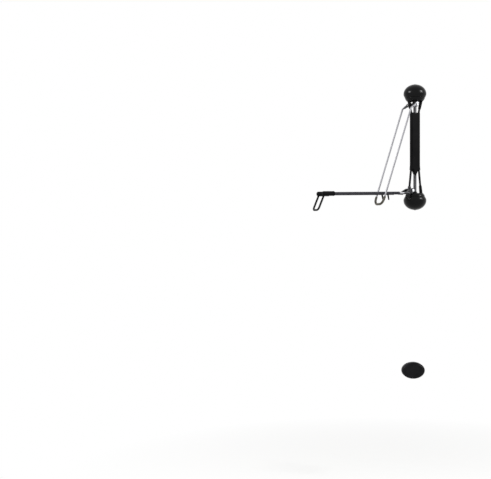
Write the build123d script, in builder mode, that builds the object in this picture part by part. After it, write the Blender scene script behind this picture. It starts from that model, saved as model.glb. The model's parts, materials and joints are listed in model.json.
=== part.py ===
"""Bicycle wall rack: a frame that swings on a vertical axle between two wall brackets.

Frame of the part: the wall is the plane Y = 0 and the room is on its -Y side, +Z is up, and the
origin is on the wall in the middle of the four wall screws, behind the axle. The frame is
drawn swung to the left, with the lower arm folded down. Millimetres and degrees.
"""

from math import atan2, cos, radians, sin, sqrt
import os

from build123d import *

os.makedirs("parts", exist_ok=True)

quarter_turn = 90.0

# Clearances
press_gap = 0.05  # round a part that is pressed or glued into another
running_gap = 0.05  # round a pin or shaft that turns
face_gap = 0.1  # between flat faces that slide on each other
cover_gap = 0.3  # between a cover and what it clips over

# The rack's place on the wall
standoff = 62.0  # wall to the centre line of the axle
swing_left = 67.0  # how far the frame stands swung to the left of straight out
end_height = 254.0  # height of the wall screw rows, above and below the origin
wall_screw_spacing = 52.0
wall_screw_radius = 4.0

# Caps over the wall brackets
cap_half_width = 54.0
cap_rise = 46.0  # from the screw row to the crown
cap_skirt = 17.0  # from the screw row to the open rim
cap_rim_half_width = 48.0
cap_wall = 3.0
cap_gap = 1.0  # between a cap's rim and the yoke that turns under it
cap_screw_radius = 2.0
cap_screw_head_radius = 4.0
cap_screw_head_height = 1.6
cap_screw_length = 18.0

# Wall brackets and their bearings
plate_thickness = 5.0
plate_half_width = 36.0
plate_corner = 12.0
boss_radius = 15.0
boss_length = 28.0
boss_roof = 6.0  # over the blind bore
post_radius = 6.0  # takes the cap's screw
neck_half_width = 13.0  # between the plate and the boss
neck_height = 22.0
bush_wall = 2.0
flange_radius = 13.0
flange_thickness = 2.0
washer_thickness = 2.0

# Axle
axle_radius = 7.5
axle_end_gap = 4.0  # between an end of the axle and the blind bore's floor
axle_chamfer = 1.0

# Yokes that join the axle and the rails
yoke_height = 15.5
yoke_face_radius = 40.0
yoke_collar_radius = 11.0
yoke_collar_height = 8.0
yoke_pin_radius = 2.0
yoke_socket_depth = 6.0

# Rails
rail_radius = 5.0
rail_reach = 19.6  # from the axle, along the body
rail_end_reach = 34.5  # from the axle, in the yokes
rail_bend_radius = 60.0
rail_top_tuck = 6.0  # from the body's top down to the upper bend
rail_bottom_tuck = 23.0  # from the body's shoulders up to the lower bend
ferrule_radius = 8.2  # at the yoke
ferrule_length = 44.0
ferrule_taper = 1.8

# Body, two moulded halves clamped round the rails and the axle
body_top_window = 54.5  # from the top yoke down to the body
body_bottom_window = 111.5  # from the bottom yoke up to the body's shoulders
body_tongue = 34.0  # how far the pointed tip hangs below the shoulders
body_half_depth = 25.5
body_foot_half_depth = 27.6
body_shoulder_reach = 16.5
body_half_width = 10.0
body_edge = 7.5
body_wall = 3.0
body_side_wall = 5.0
body_end_wall = 6.0
rib_height = 12.0
rib_top_inset = 27.0  # from the body's top down to the first rib
rib_bottom_inset = 29.0  # from the shoulders up to the last rib
body_screw_reach = 11.5
body_screw_radius = 2.0
body_screw_head_radius = 3.6
body_screw_head_height = 2.6
body_screw_end = 7.0  # how far a screw reaches into the right half

# Hinge bolts
bolt_radius = 4.0
bolt_head_radius = 7.5
bolt_head_height = 4.0
nut_height = 6.5

# Lower hinge
hinge_reach = 30.0
hinge_rise = 12.5  # above the bottom yoke
hinge_barrel_radius = 7.5
hinge_flange_radius = 10.8
hinge_flange_thickness = 4.0
hinge_socket_radius = 7.6
hinge_socket_height = 20.0
hinge_socket_bore = 10.0
stop_peg_radius = 1.9
stop_peg_length = 3.5
stop_peg_reach = 7.1
stop_gap = 0.3
arm_fold = 84.0  # how far the lower arm folds up
stop_angle = 222.0  # where the stop peg lies when the arm is down

# Lower arm
arm_droop = 1.4  # below the horizontal
arm_side = 26.0  # from the middle plane to each rod
arm_drop = 12.0  # rods below the hinge bolt
arm_rod_radius = 5.0
knuckle_thickness = 9.0
knuckle_eye_radius = 10.8
knuckle_neck_radius = 6.4
knuckle_neck_reach = 31.0
knuckle_socket_start = 22.0
knuckle_socket_end = 48.0
knuckle_socket_radius = 6.9
knuckle_socket_taper = 2.5
knuckle_bore_start = 28.0
sleeve_start = 72.0
sleeve_radius = 7.0
peg_reach = 137.0  # guide pegs, which hang from the rods
peg_radius = 4.2
peg_tip_radius = 3.2
peg_length = 32.0
peg_lean = 6.0  # of the tip, back towards the frame
block_start = 420.0
block_length = 62.0
block_radius = 11.0
block_nose = 7.0
block_heel = 3.0
rod_end_wall = 18.0  # solid nose of a block beyond its rod

# Outer cradle, which hangs from the end of the lower arm
cradle_radius = 4.5
cradle_root = 12.0  # from the block's nose back to the legs
cradle_outset = 34.0
cradle_fall = 74.0
cradle_bend_radius = 14.0

# Upper hinge and stirrup
stirrup_hinge_reach = 14.5
stirrup_hinge_drop = 17.5  # below the top yoke
stirrup_barrel_radius = 7.0
stirrup_collar_radius = 12.0
stirrup_collar_height = 18.0
stirrup_web_half_width = 9.0
stirrup_web_half_height = 5.5
friction_washer_thickness = 2.3
stirrup_side = 37.8
stirrup_radius = 4.0
stirrup_eye_radius = 8.6
stirrup_eye_thickness = 9.0
stirrup_socket_radius = 6.0
stirrup_socket_start = 8.0
stirrup_socket_length = 16.0
stirrup_wire_start = 12.0
stirrup_crank_reach = 45.0
stirrup_crank_drop = 19.0  # below the stirrup's hinge bolt
stirrup_crank_radius = 12.0
stirrup_foot_reach = 201.0
stirrup_foot_drop = 67.0  # below the lower hinge bolt
bow_radius = 5.6
bow_rise = 38.0  # up each leg from the lowest point
bow_socket_depth = 10.0
bow_bend_radius = 28.0

# Tyre rest, lower on the wall
rest_level = -1073.0
rest_half_width = 55.5
rest_half_height = 40.0
rest_depth = 30.0
rest_edge = 13.0
rest_wall = 5.0
rest_base_thickness = 10.0
rest_screw_spacing = 56.0
rest_screw_radius = 3.2
rest_groove_radius = 60.0
rest_groove_depth = 6.0

# Heights of the stack at each end, from the frame outwards
cap_rim = end_height - cap_skirt
yoke_outer = cap_rim - cap_gap
yoke_inner = yoke_outer - yoke_height
washer_inner = yoke_outer + face_gap
flange_inner = washer_inner + washer_thickness
boss_inner = flange_inner + flange_thickness
boss_outer = boss_inner + boss_length
bore_floor = boss_outer - boss_roof
axle_end = bore_floor - axle_end_gap
yoke_pin_level = yoke_inner - yoke_collar_height / 2
rail_end = yoke_inner + yoke_socket_depth
cap_crown = end_height + cap_rise
post_share = sqrt(1 - (post_radius / (cap_half_width - cap_wall)) ** 2)
post_end = end_height + (cap_rise - cap_wall) * post_share - cover_gap
plate_height = 2 * (end_height - boss_inner)
neck_outer = boss_inner + neck_height

# Heights of the frame's pieces between the yokes
body_top = yoke_inner - body_top_window
body_shoulder = body_bottom_window - yoke_inner
body_tip = body_shoulder - body_tongue
rail_top_bend = body_top - rail_top_tuck
rail_bottom_bend = body_shoulder + rail_bottom_tuck
rib_top = body_top - rib_top_inset
rib_bottom = body_shoulder + rib_bottom_inset
rib_levels = (rib_top, (rib_top + rib_bottom) / 2, rib_bottom)
hinge_level = hinge_rise - yoke_inner
stirrup_hinge_level = yoke_inner - stirrup_hinge_drop
stirrup_crank_level = stirrup_hinge_level - stirrup_crank_drop
stirrup_foot_level = hinge_level - stirrup_foot_drop

# Half lengths of the two hinge barrels, which stand between the knuckles
hinge_barrel_half_length = arm_side - knuckle_thickness / 2 - 2 * face_gap
washer_half_grip = stirrup_side - stirrup_eye_thickness / 2 - face_gap
stirrup_barrel_half_length = washer_half_grip - friction_washer_thickness - face_gap

# Planes of the swung frame and of the drooping arm: x outwards, y to the right side, z upwards
swing_plane = Plane(
    origin=(0, -standoff, 0),
    x_dir=(-sin(radians(swing_left)), -cos(radians(swing_left)), 0),
    z_dir=(0, 0, 1),
)
arm_plane = Plane(
    origin=swing_plane.from_local_coords((hinge_reach, 0, hinge_level)),
    x_dir=swing_plane.x_dir * cos(radians(arm_droop)) - swing_plane.z_dir * sin(radians(arm_droop)),
    z_dir=swing_plane.x_dir * sin(radians(arm_droop)) + swing_plane.z_dir * cos(radians(arm_droop)),
)


def side_plane(frame, side):
    """Plane of a frame's side view, at a distance to the right, whose normal points left."""
    origin = frame.from_local_coords((0, side, 0))
    return Plane(origin=origin, x_dir=frame.x_dir, z_dir=-frame.y_dir)


def cross_plane(frame, point, towards):
    """Plane square to the line from one point of a frame towards another."""
    start = frame.from_local_coords(point)
    return Plane(origin=start, z_dir=frame.from_local_coords(towards) - start)


def save(piece, name):
    """Label a finished piece and write it under its name."""
    piece.part.label = name
    export_step(piece.part, f"parts/{name}.step")


ends = (("top", 1), ("bottom", -1))
sides = (("right", 1), ("left", -1))

# Wall side: caps, brackets, bushes and thrust washers
front_plane = Plane(origin=(0, -standoff, 0), x_dir=(1, 0, 0), z_dir=(0, -1, 0))
wall_plane = Plane(origin=(0, 0, 0), x_dir=(1, 0, 0), z_dir=(0, -1, 0))
axle_line = Axis((0, -standoff, 0), (0, 0, 1))


def cap_outline(inset, up):
    """Half outline of a cap seen from the front, drawn in by an inset."""
    rim = up * cap_rim
    middle = up * end_height
    width = cap_half_width - inset
    rise = cap_rise - inset
    rim_width = cap_rim_half_width - inset
    bulge = (width + rim_width) / 2 + (width - rim_width) / 6
    with BuildLine() as outline:
        ThreePointArc((rim_width, rim), (bulge, (rim + middle) / 2), (width, middle))
        EllipticalCenterArc(
            (0, middle),
            width,
            rise,
            start_angle=0,
            arc_size=up * quarter_turn,
        )
    return outline.wires()[0]


for end, up in ends:
    with BuildPart() as cap:
        with BuildSketch(front_plane):
            with BuildLine():
                add(cap_outline(0, up))
                add(cap_outline(cap_wall, up))
                Line((cap_rim_half_width, up * cap_rim), (cap_rim_half_width - cap_wall, up * cap_rim))
                Line((0, up * cap_crown), (0, up * (cap_crown - cap_wall)))
            make_face()
        revolve(axis=axle_line)
        slot_height = neck_outer + cover_gap - cap_rim
        with BuildSketch(wall_plane):
            with Locations((0, up * (cap_rim + slot_height / 2))):
                Rectangle(2 * (neck_half_width + cover_gap), slot_height)
        extrude(amount=standoff, mode=Mode.SUBTRACT)
        with BuildSketch(swing_plane.offset(up * cap_crown)):
            Circle(cap_screw_radius + press_gap)
        extrude(amount=-up * 2 * cap_wall, mode=Mode.SUBTRACT)
    save(cap, f"{end}_cap")

    with BuildPart() as bracket:
        with BuildSketch(wall_plane):
            with Locations((0, up * end_height)):
                RectangleRounded(2 * plate_half_width, plate_height, plate_corner)
        extrude(amount=plate_thickness)
        with BuildSketch(Plane.XY.offset(up * boss_inner)):
            with Locations((0, -standoff)):
                Circle(boss_radius)
        extrude(amount=up * boss_length)
        with BuildSketch(Plane.XY.offset(up * boss_inner)):
            with Locations((0, -(standoff + plate_thickness) / 2)):
                Rectangle(2 * neck_half_width, standoff - plate_thickness)
        extrude(amount=up * neck_height)
        with BuildSketch(Plane.XY.offset(up * boss_inner)):
            with Locations((0, -standoff)):
                Circle(axle_radius + running_gap + bush_wall + press_gap)
        extrude(amount=up * (bore_floor - boss_inner), mode=Mode.SUBTRACT)
        with BuildSketch(swing_plane.offset(up * boss_outer)):
            Circle(post_radius)
        extrude(amount=up * (post_end - boss_outer))
        with BuildSketch(swing_plane.offset(up * post_end)):
            Circle(cap_screw_radius + press_gap)
        extrude(amount=-up * cap_screw_length, mode=Mode.SUBTRACT)
        with BuildSketch(wall_plane):
            with Locations(
                (-wall_screw_spacing / 2, up * end_height), (wall_screw_spacing / 2, up * end_height)
            ):
                Circle(wall_screw_radius)
        extrude(amount=plate_thickness, mode=Mode.SUBTRACT)
    save(bracket, f"{end}_bracket")

    with BuildPart() as bush:
        with BuildSketch(swing_plane.offset(up * flange_inner)):
            Circle(flange_radius)
        extrude(amount=up * flange_thickness)
        with BuildSketch(swing_plane.offset(up * boss_inner)):
            Circle(axle_radius + running_gap + bush_wall)
        extrude(amount=up * (bore_floor - boss_inner - press_gap))
        with BuildSketch(swing_plane.offset(up * flange_inner)):
            Circle(axle_radius + running_gap)
        extrude(amount=up * (bore_floor - flange_inner), mode=Mode.SUBTRACT)
    save(bush, f"{end}_bush")

with BuildPart() as cap_screws:
    for _, up in ends:
        with BuildSketch(swing_plane.offset(up * cap_crown)):
            Circle(cap_screw_radius)
        extrude(amount=-up * cap_screw_length)
        with BuildSketch(swing_plane.offset(up * cap_crown)):
            Circle(cap_screw_head_radius)
        extrude(amount=up * cap_screw_head_height)
        crown_edges = cap_screws.edges().group_by(Axis.Z)[-1 if up > 0 else 0]
        fillet(crown_edges, cap_screw_head_height / 2)
save(cap_screws, "cap_screws")

with BuildPart() as thrust_washers:
    for _, up in ends:
        with BuildSketch(swing_plane.offset(up * washer_inner)):
            Circle(flange_radius)
            Circle(axle_radius + running_gap, mode=Mode.SUBTRACT)
        extrude(amount=up * washer_thickness)
save(thrust_washers, "thrust_washers")

# Swinging frame: axle, rails, yokes and their pins
with BuildPart() as axle:
    with BuildSketch(swing_plane):
        Circle(axle_radius)
    extrude(amount=axle_end, both=True)
    rims = axle.edges().group_by(Axis.Z)
    chamfer(rims[0] + rims[-1], axle_chamfer)
    for _, up in ends:
        with BuildSketch(side_plane(swing_plane, 0)):
            with Locations((0, up * yoke_pin_level)):
                Circle(yoke_pin_radius + press_gap)
        extrude(amount=axle_radius, both=True, mode=Mode.SUBTRACT)
save(axle, "axle")

rail_fall = (rail_end_reach - rail_reach) / (rail_end + rail_bottom_bend)
hinge_socket_top = hinge_level + hinge_socket_height
hinge_bore_end = hinge_socket_top - hinge_socket_bore


def rail_at(level):
    """Reach of the lower, slanted stretch of a rail at a level."""
    return rail_reach + rail_fall * (rail_bottom_bend - level)


def rail_points(out):
    """Corner points of the front rail (out 1), which ends in the hinge block, or of the rear rail."""
    foot = hinge_bore_end if out > 0 else -rail_end
    corners = (
        (rail_end_reach, rail_end),
        (rail_reach, rail_top_bend),
        (rail_reach, rail_bottom_bend),
        (rail_at(foot), foot),
    )
    return [swing_plane.from_local_coords((out * reach, 0, level)) for reach, level in corners]


def bar(points, bend_radius, radius):
    """A round bar bent along corner points."""
    with BuildPart() as rod:
        with BuildLine() as path:
            FilletPolyline(*points, radius=bend_radius)
        with BuildSketch(Plane(origin=path.line @ 0, z_dir=path.line % 0)):
            Circle(radius)
        sweep(path=path.wires()[0])
    return rod


front_rail = bar(rail_points(1), rail_bend_radius, rail_radius)
save(front_rail, "front_rail")
rear_rail = bar(rail_points(-1), rail_bend_radius, rail_radius)
save(rear_rail, "rear_rail")

for end, up in ends:
    with BuildPart() as yoke:
        with BuildSketch(front_plane):
            with BuildLine():
                rim_radius = cap_rim_half_width - cap_gap
                waist = (rim_radius + yoke_face_radius) / 2 + cap_gap
                bore = axle_radius + press_gap
                flank = ThreePointArc(
                    (rim_radius, up * yoke_outer),
                    (waist, up * (yoke_outer + yoke_inner) / 2),
                    (yoke_face_radius, up * yoke_inner),
                )
                Polyline(
                    flank @ 1,
                    (yoke_collar_radius, up * yoke_inner),
                    (yoke_collar_radius, up * (yoke_inner - yoke_collar_height)),
                    (bore, up * (yoke_inner - yoke_collar_height)),
                    (bore, up * yoke_outer),
                    flank @ 0,
                )
            make_face()
        revolve(axis=axle_line)
        for out in (1, -1):
            socket_end = (out * rail_end_reach, 0, up * rail_end)
            bend = rail_top_bend if up > 0 else rail_bottom_bend
            with BuildSketch(cross_plane(swing_plane, socket_end, (out * rail_reach, 0, bend))):
                Circle(rail_radius + press_gap)
            extrude(amount=2 * yoke_socket_depth, mode=Mode.SUBTRACT)
        with BuildSketch(side_plane(swing_plane, 0)):
            with Locations((0, up * yoke_pin_level)):
                Circle(yoke_pin_radius + press_gap)
        extrude(amount=yoke_collar_radius, both=True, mode=Mode.SUBTRACT)
    save(yoke, f"{end}_yoke")

with BuildPart() as yoke_pins:
    for _, up in ends:
        with BuildSketch(side_plane(swing_plane, 0)):
            with Locations((0, up * yoke_pin_level)):
                Circle(yoke_pin_radius)
        extrude(amount=yoke_collar_radius - face_gap, both=True)
save(yoke_pins, "yoke_pins")

with BuildPart() as rail_ferrules:
    for out, up in ((1, 1), (-1, 1), (-1, -1)):
        root = (out * rail_end_reach, 0, up * rail_end)
        bend = (out * rail_reach, 0, rail_top_bend if up > 0 else rail_bottom_bend)
        with BuildSketch(cross_plane(swing_plane, root, bend)):
            Circle(ferrule_radius)
        extrude(amount=ferrule_length, taper=ferrule_taper)
        with BuildSketch(cross_plane(swing_plane, root, bend)):
            Circle(rail_radius + press_gap)
        extrude(amount=ferrule_length, mode=Mode.SUBTRACT)
    for _, up in ends:
        with BuildSketch(swing_plane.offset(up * (yoke_inner - press_gap))):
            Circle(cap_half_width)
        extrude(amount=up * yoke_height, mode=Mode.SUBTRACT)
save(rail_ferrules, "rail_ferrules")

# Body halves, clamped round the rails and the axle by ribs
pocket_ends = [body_top - body_end_wall]
for level in rib_levels:
    pocket_ends += [level + rib_height / 2, level - rib_height / 2]
pocket_ends.append(body_shoulder + body_end_wall)

screw_places = [
    (out * body_screw_reach, level) for out in (1, -1) for level in (rib_levels[0], rib_levels[-1])
]
head_seat = body_half_width - body_screw_head_height
body_plane = side_plane(swing_plane, 0)
rail_grooves = [bar(rail_points(out), rail_bend_radius, rail_radius + press_gap) for out in (1, -1)]

for hand, side in sides:
    with BuildPart() as body:
        with BuildSketch(body_plane):
            with BuildLine():
                Polyline(
                    (0, body_top),
                    (body_half_depth, body_top),
                    (body_half_depth, rail_bottom_bend),
                    (body_foot_half_depth, body_shoulder),
                    (body_shoulder_reach, body_shoulder),
                    (0, body_tip),
                    close=True,
                )
            make_face()
            mirror(about=Plane.YZ)
        extrude(amount=-side * body_half_width)
        flank = body.faces().sort_by(Axis((0, 0, 0), swing_plane.y_dir * side))[-1]
        fillet(flank.edges(), radius=body_edge)
        for top, bottom in zip(pocket_ends[::2], pocket_ends[1::2]):
            with BuildSketch(body_plane):
                with Locations((0, (top + bottom) / 2)):
                    Rectangle(2 * (body_half_depth - body_side_wall), top - bottom)
            extrude(amount=-side * (body_half_width - body_wall), mode=Mode.SUBTRACT)
        with BuildSketch(swing_plane.offset(body_tip)):
            Circle(axle_radius + press_gap)
        extrude(amount=body_top - body_tip, mode=Mode.SUBTRACT)
        for groove in rail_grooves:
            add(groove.part, mode=Mode.SUBTRACT)
        with BuildSketch(body_plane):
            with Locations(*screw_places):
                Circle(body_screw_radius + press_gap)
        extrude(amount=-body_screw_end if side > 0 else body_half_width, mode=Mode.SUBTRACT)
        with BuildSketch(side_plane(swing_plane, -head_seat)):
            with Locations(*screw_places):
                Circle(body_screw_head_radius + press_gap)
        extrude(amount=body_screw_head_height, mode=Mode.SUBTRACT)
    save(body, f"body_{hand}")

with BuildPart() as body_screws:
    with BuildSketch(side_plane(swing_plane, body_screw_end - face_gap)):
        with Locations(*screw_places):
            Circle(body_screw_radius)
    extrude(amount=head_seat + body_screw_end - face_gap)
    with BuildSketch(side_plane(swing_plane, -head_seat)):
        with Locations(*screw_places):
            Circle(body_screw_head_radius)
            RegularPolygon(body_screw_radius, 6, mode=Mode.SUBTRACT)
    extrude(amount=body_screw_head_height - face_gap)
save(body_screws, "body_screws")

# Lower hinge: block between the front rail and the bottom yoke, with stop pegs for the arm
hinge_point = (hinge_reach, hinge_level)
stop_place = (
    stop_peg_reach * cos(radians(stop_angle)),
    stop_peg_reach * sin(radians(stop_angle)),
)
with BuildPart() as lower_hinge_block:
    with BuildSketch(side_plane(swing_plane, 0)):
        with Locations(hinge_point):
            Circle(hinge_barrel_radius)
    extrude(amount=hinge_barrel_half_length, both=True)
    for _, side in sides:
        with BuildSketch(side_plane(swing_plane, side * hinge_barrel_half_length)):
            with Locations(hinge_point):
                Circle(hinge_flange_radius)
        extrude(amount=side * hinge_flange_thickness)
        with BuildSketch(side_plane(arm_plane, side * hinge_barrel_half_length)):
            with Locations(stop_place):
                Circle(stop_peg_radius)
        extrude(amount=-side * stop_peg_length)
    socket_top = (rail_at(hinge_socket_top), 0, hinge_socket_top)
    spigot_end = (rail_end_reach, 0, -rail_end)
    with BuildSketch(cross_plane(swing_plane, socket_top, spigot_end)):
        Circle(hinge_socket_radius)
    extrude(amount=hinge_socket_height)
    with BuildSketch(cross_plane(swing_plane, spigot_end, socket_top)):
        Circle(rail_radius)
    extrude(amount=hinge_level + rail_end)
    with BuildSketch(side_plane(swing_plane, 0)):
        with Locations(hinge_point):
            Circle(bolt_radius + running_gap)
    extrude(amount=hinge_barrel_half_length, both=True, mode=Mode.SUBTRACT)
    bore_end = (rail_at(hinge_bore_end), 0, hinge_bore_end)
    with BuildSketch(cross_plane(swing_plane, bore_end, socket_top)):
        Circle(rail_radius + press_gap)
    extrude(amount=2 * hinge_socket_bore, mode=Mode.SUBTRACT)
save(lower_hinge_block, "lower_hinge_block")


def hinge_bolt(place, half_grip):
    """A bolt across the frame: its head on the right side, its thread through the nut on the left."""
    with BuildPart() as bolt:
        with BuildSketch(side_plane(swing_plane, half_grip + face_gap)):
            with Locations(place):
                Circle(bolt_radius)
        extrude(amount=2 * (half_grip + face_gap) + nut_height)
        with BuildSketch(side_plane(swing_plane, half_grip + face_gap)):
            with Locations(place):
                RegularPolygon(bolt_head_radius, 6)
        extrude(amount=-bolt_head_height)
    return bolt


def hinge_nut(place, half_grip):
    """The lock nut at the left end of a hinge bolt."""
    with BuildPart() as nut:
        with BuildSketch(side_plane(swing_plane, -half_grip - face_gap)):
            with Locations(place):
                RegularPolygon(bolt_head_radius, 6)
                Circle(bolt_radius + press_gap, mode=Mode.SUBTRACT)
        extrude(amount=nut_height)
    return nut


arm_half_grip = arm_side + knuckle_thickness / 2
save(hinge_bolt(hinge_point, arm_half_grip), "lower_hinge_bolt")
save(hinge_nut(hinge_point, arm_half_grip), "lower_hinge_nut")

# Upper hinge: a collar on the axle with a barrel across it
stirrup_point = (stirrup_hinge_reach, stirrup_hinge_level)
with BuildPart() as upper_hinge_collar:
    with BuildSketch(swing_plane.offset(stirrup_hinge_level)):
        Circle(stirrup_collar_radius)
    extrude(amount=stirrup_collar_height / 2, both=True)
    with BuildSketch(swing_plane.offset(stirrup_hinge_level)):
        with Locations((stirrup_hinge_reach / 2, 0)):
            Rectangle(stirrup_hinge_reach, 2 * stirrup_web_half_width)
    extrude(amount=stirrup_web_half_height, both=True)
    with BuildSketch(side_plane(swing_plane, 0)):
        with Locations(stirrup_point):
            Circle(stirrup_barrel_radius)
    extrude(amount=stirrup_barrel_half_length, both=True)
    with BuildSketch(swing_plane.offset(stirrup_hinge_level)):
        Circle(axle_radius + press_gap)
    extrude(amount=stirrup_collar_height, both=True, mode=Mode.SUBTRACT)
    with BuildSketch(side_plane(swing_plane, 0)):
        with Locations(stirrup_point):
            Circle(bolt_radius + running_gap)
    extrude(amount=stirrup_barrel_half_length, both=True, mode=Mode.SUBTRACT)
save(upper_hinge_collar, "upper_hinge_collar")

stirrup_half_grip = stirrup_side + stirrup_eye_thickness / 2
save(hinge_bolt(stirrup_point, stirrup_half_grip), "upper_hinge_bolt")
save(hinge_nut(stirrup_point, stirrup_half_grip), "upper_hinge_nut")

with BuildPart() as friction_washers:
    for _, side in sides:
        with BuildSketch(side_plane(swing_plane, side * (stirrup_barrel_half_length + face_gap))):
            with Locations(stirrup_point):
                Circle(stirrup_barrel_radius)
                Circle(bolt_radius + running_gap, mode=Mode.SUBTRACT)
        extrude(amount=-side * friction_washer_thickness)
save(friction_washers, "friction_washers")

# Lower arm: knuckles, rods, sleeves, guide pegs and end blocks
rod_level = -arm_drop
block_end = block_start + block_length
rod_end = block_end - rod_end_wall
leg_reach = block_end - cradle_root
cradle_corner = (leg_reach + cradle_outset, rod_level - cradle_fall)

for hand, side in sides:
    rod_side = side * arm_side

    with BuildPart() as arm_knuckle:
        with BuildSketch(side_plane(arm_plane, rod_side)):
            Circle(knuckle_eye_radius)
            with Locations((knuckle_neck_reach, rod_level)):
                Circle(knuckle_neck_radius)
            make_hull()
        extrude(amount=knuckle_thickness / 2, both=True)
        start = (knuckle_socket_start, rod_side, rod_level)
        with BuildSketch(cross_plane(arm_plane, start, (rod_end, rod_side, rod_level))):
            Circle(knuckle_socket_radius)
        extrude(amount=knuckle_socket_end - knuckle_socket_start, taper=knuckle_socket_taper)
        bore = (knuckle_bore_start, rod_side, rod_level)
        with BuildSketch(cross_plane(arm_plane, bore, (rod_end, rod_side, rod_level))):
            Circle(arm_rod_radius + press_gap)
        extrude(amount=knuckle_socket_end, mode=Mode.SUBTRACT)
        with BuildSketch(side_plane(arm_plane, rod_side)):
            Circle(bolt_radius + running_gap)
        extrude(amount=knuckle_thickness, both=True, mode=Mode.SUBTRACT)
        inner_face = side * (arm_side - knuckle_thickness / 2)
        with BuildSketch(side_plane(arm_plane, inner_face)):
            with BuildLine(mode=Mode.PRIVATE) as travel:
                CenterArc((0, 0), stop_peg_reach, stop_angle - arm_fold, arm_fold)
            SlotArc(travel.edge(), 2 * (stop_peg_radius + stop_gap))
        extrude(amount=-side * (stop_peg_length + stop_gap), mode=Mode.SUBTRACT)
    save(arm_knuckle, f"arm_knuckle_{hand}")

    with BuildPart() as arm_rod:
        with BuildSketch(cross_plane(arm_plane, bore, (rod_end, rod_side, rod_level))):
            Circle(arm_rod_radius)
        extrude(amount=rod_end - knuckle_bore_start)
    save(arm_rod, f"arm_rod_{hand}")

    with BuildPart() as arm_sleeve:
        start = (sleeve_start, rod_side, rod_level)
        with BuildSketch(cross_plane(arm_plane, start, (rod_end, rod_side, rod_level))):
            Circle(sleeve_radius)
            Circle(arm_rod_radius + press_gap, mode=Mode.SUBTRACT)
        extrude(amount=block_start - sleeve_start)
        peg_root = (peg_reach, rod_side, rod_level)
        peg_tip = (peg_reach - peg_lean, rod_side, rod_level - peg_length)
        with BuildSketch(cross_plane(arm_plane, peg_root, peg_tip)):
            Circle(peg_radius + press_gap)
        extrude(amount=2 * sleeve_radius, mode=Mode.SUBTRACT)
    save(arm_sleeve, f"arm_sleeve_{hand}")

    with BuildPart() as end_block:
        start = (block_start, rod_side, rod_level)
        nose = (block_end, rod_side, rod_level)
        with BuildSketch(cross_plane(arm_plane, start, nose)):
            Circle(block_radius)
        extrude(amount=block_length)
        along = Axis((0, 0, 0), arm_plane.x_dir)
        fillet(end_block.edges().sort_by(along)[-1], radius=block_nose)
        fillet(end_block.edges().sort_by(along)[0], radius=block_heel)
        with BuildSketch(cross_plane(arm_plane, start, nose)):
            Circle(arm_rod_radius + press_gap)
        extrude(amount=rod_end - block_start + press_gap, mode=Mode.SUBTRACT)
        leg_root = (leg_reach, rod_side, rod_level)
        leg_tip = (cradle_corner[0], rod_side, cradle_corner[1])
        with BuildSketch(cross_plane(arm_plane, leg_root, leg_tip)):
            Circle(cradle_radius + press_gap)
        extrude(amount=2 * block_radius, mode=Mode.SUBTRACT)
    save(end_block, f"end_block_{hand}")

with BuildPart() as guide_pegs:
    for _, side in sides:
        rod_side = side * arm_side
        peg_root = (peg_reach, rod_side, rod_level)
        peg_tip = (peg_reach - peg_lean, rod_side, rod_level - peg_length)
        with BuildSketch(cross_plane(arm_plane, peg_root, peg_tip)):
            Circle(peg_radius)
        with BuildSketch(cross_plane(arm_plane, peg_tip, peg_root)):
            Circle(peg_tip_radius)
        loft()
        bore = (knuckle_bore_start, rod_side, rod_level)
        with BuildSketch(cross_plane(arm_plane, bore, (rod_end, rod_side, rod_level))):
            Circle(arm_rod_radius + press_gap)
        extrude(amount=rod_end, mode=Mode.SUBTRACT)
save(guide_pegs, "guide_pegs")

cradle_points = [
    arm_plane.from_local_coords(corner)
    for corner in (
        (leg_reach, arm_side, rod_level),
        (cradle_corner[0], arm_side, cradle_corner[1]),
        (cradle_corner[0], -arm_side, cradle_corner[1]),
        (leg_reach, -arm_side, rod_level),
    )
]
save(bar(cradle_points, cradle_bend_radius, cradle_radius), "cradle_bar")

# Stirrup: two knuckles, two bent wire legs and the bow that joins them at the foot
crank_angle = atan2(
    stirrup_crank_level - stirrup_hinge_level, stirrup_crank_reach - stirrup_hinge_reach
)


def crank_point(distance, side):
    """Point of the stirrup's crank, at a distance from the hinge bolt."""
    reach = stirrup_hinge_reach + distance * cos(crank_angle)
    level = stirrup_hinge_level + distance * sin(crank_angle)
    return (reach, side, level)


leg_angle = atan2(stirrup_crank_level - stirrup_foot_level, stirrup_crank_reach - stirrup_foot_reach)


def leg_point(distance, side):
    """Point of a stirrup leg's line, at a distance up from the foot's corner."""
    reach = stirrup_foot_reach + distance * cos(leg_angle)
    level = stirrup_foot_level + distance * sin(leg_angle)
    return (reach, side, level)


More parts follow.
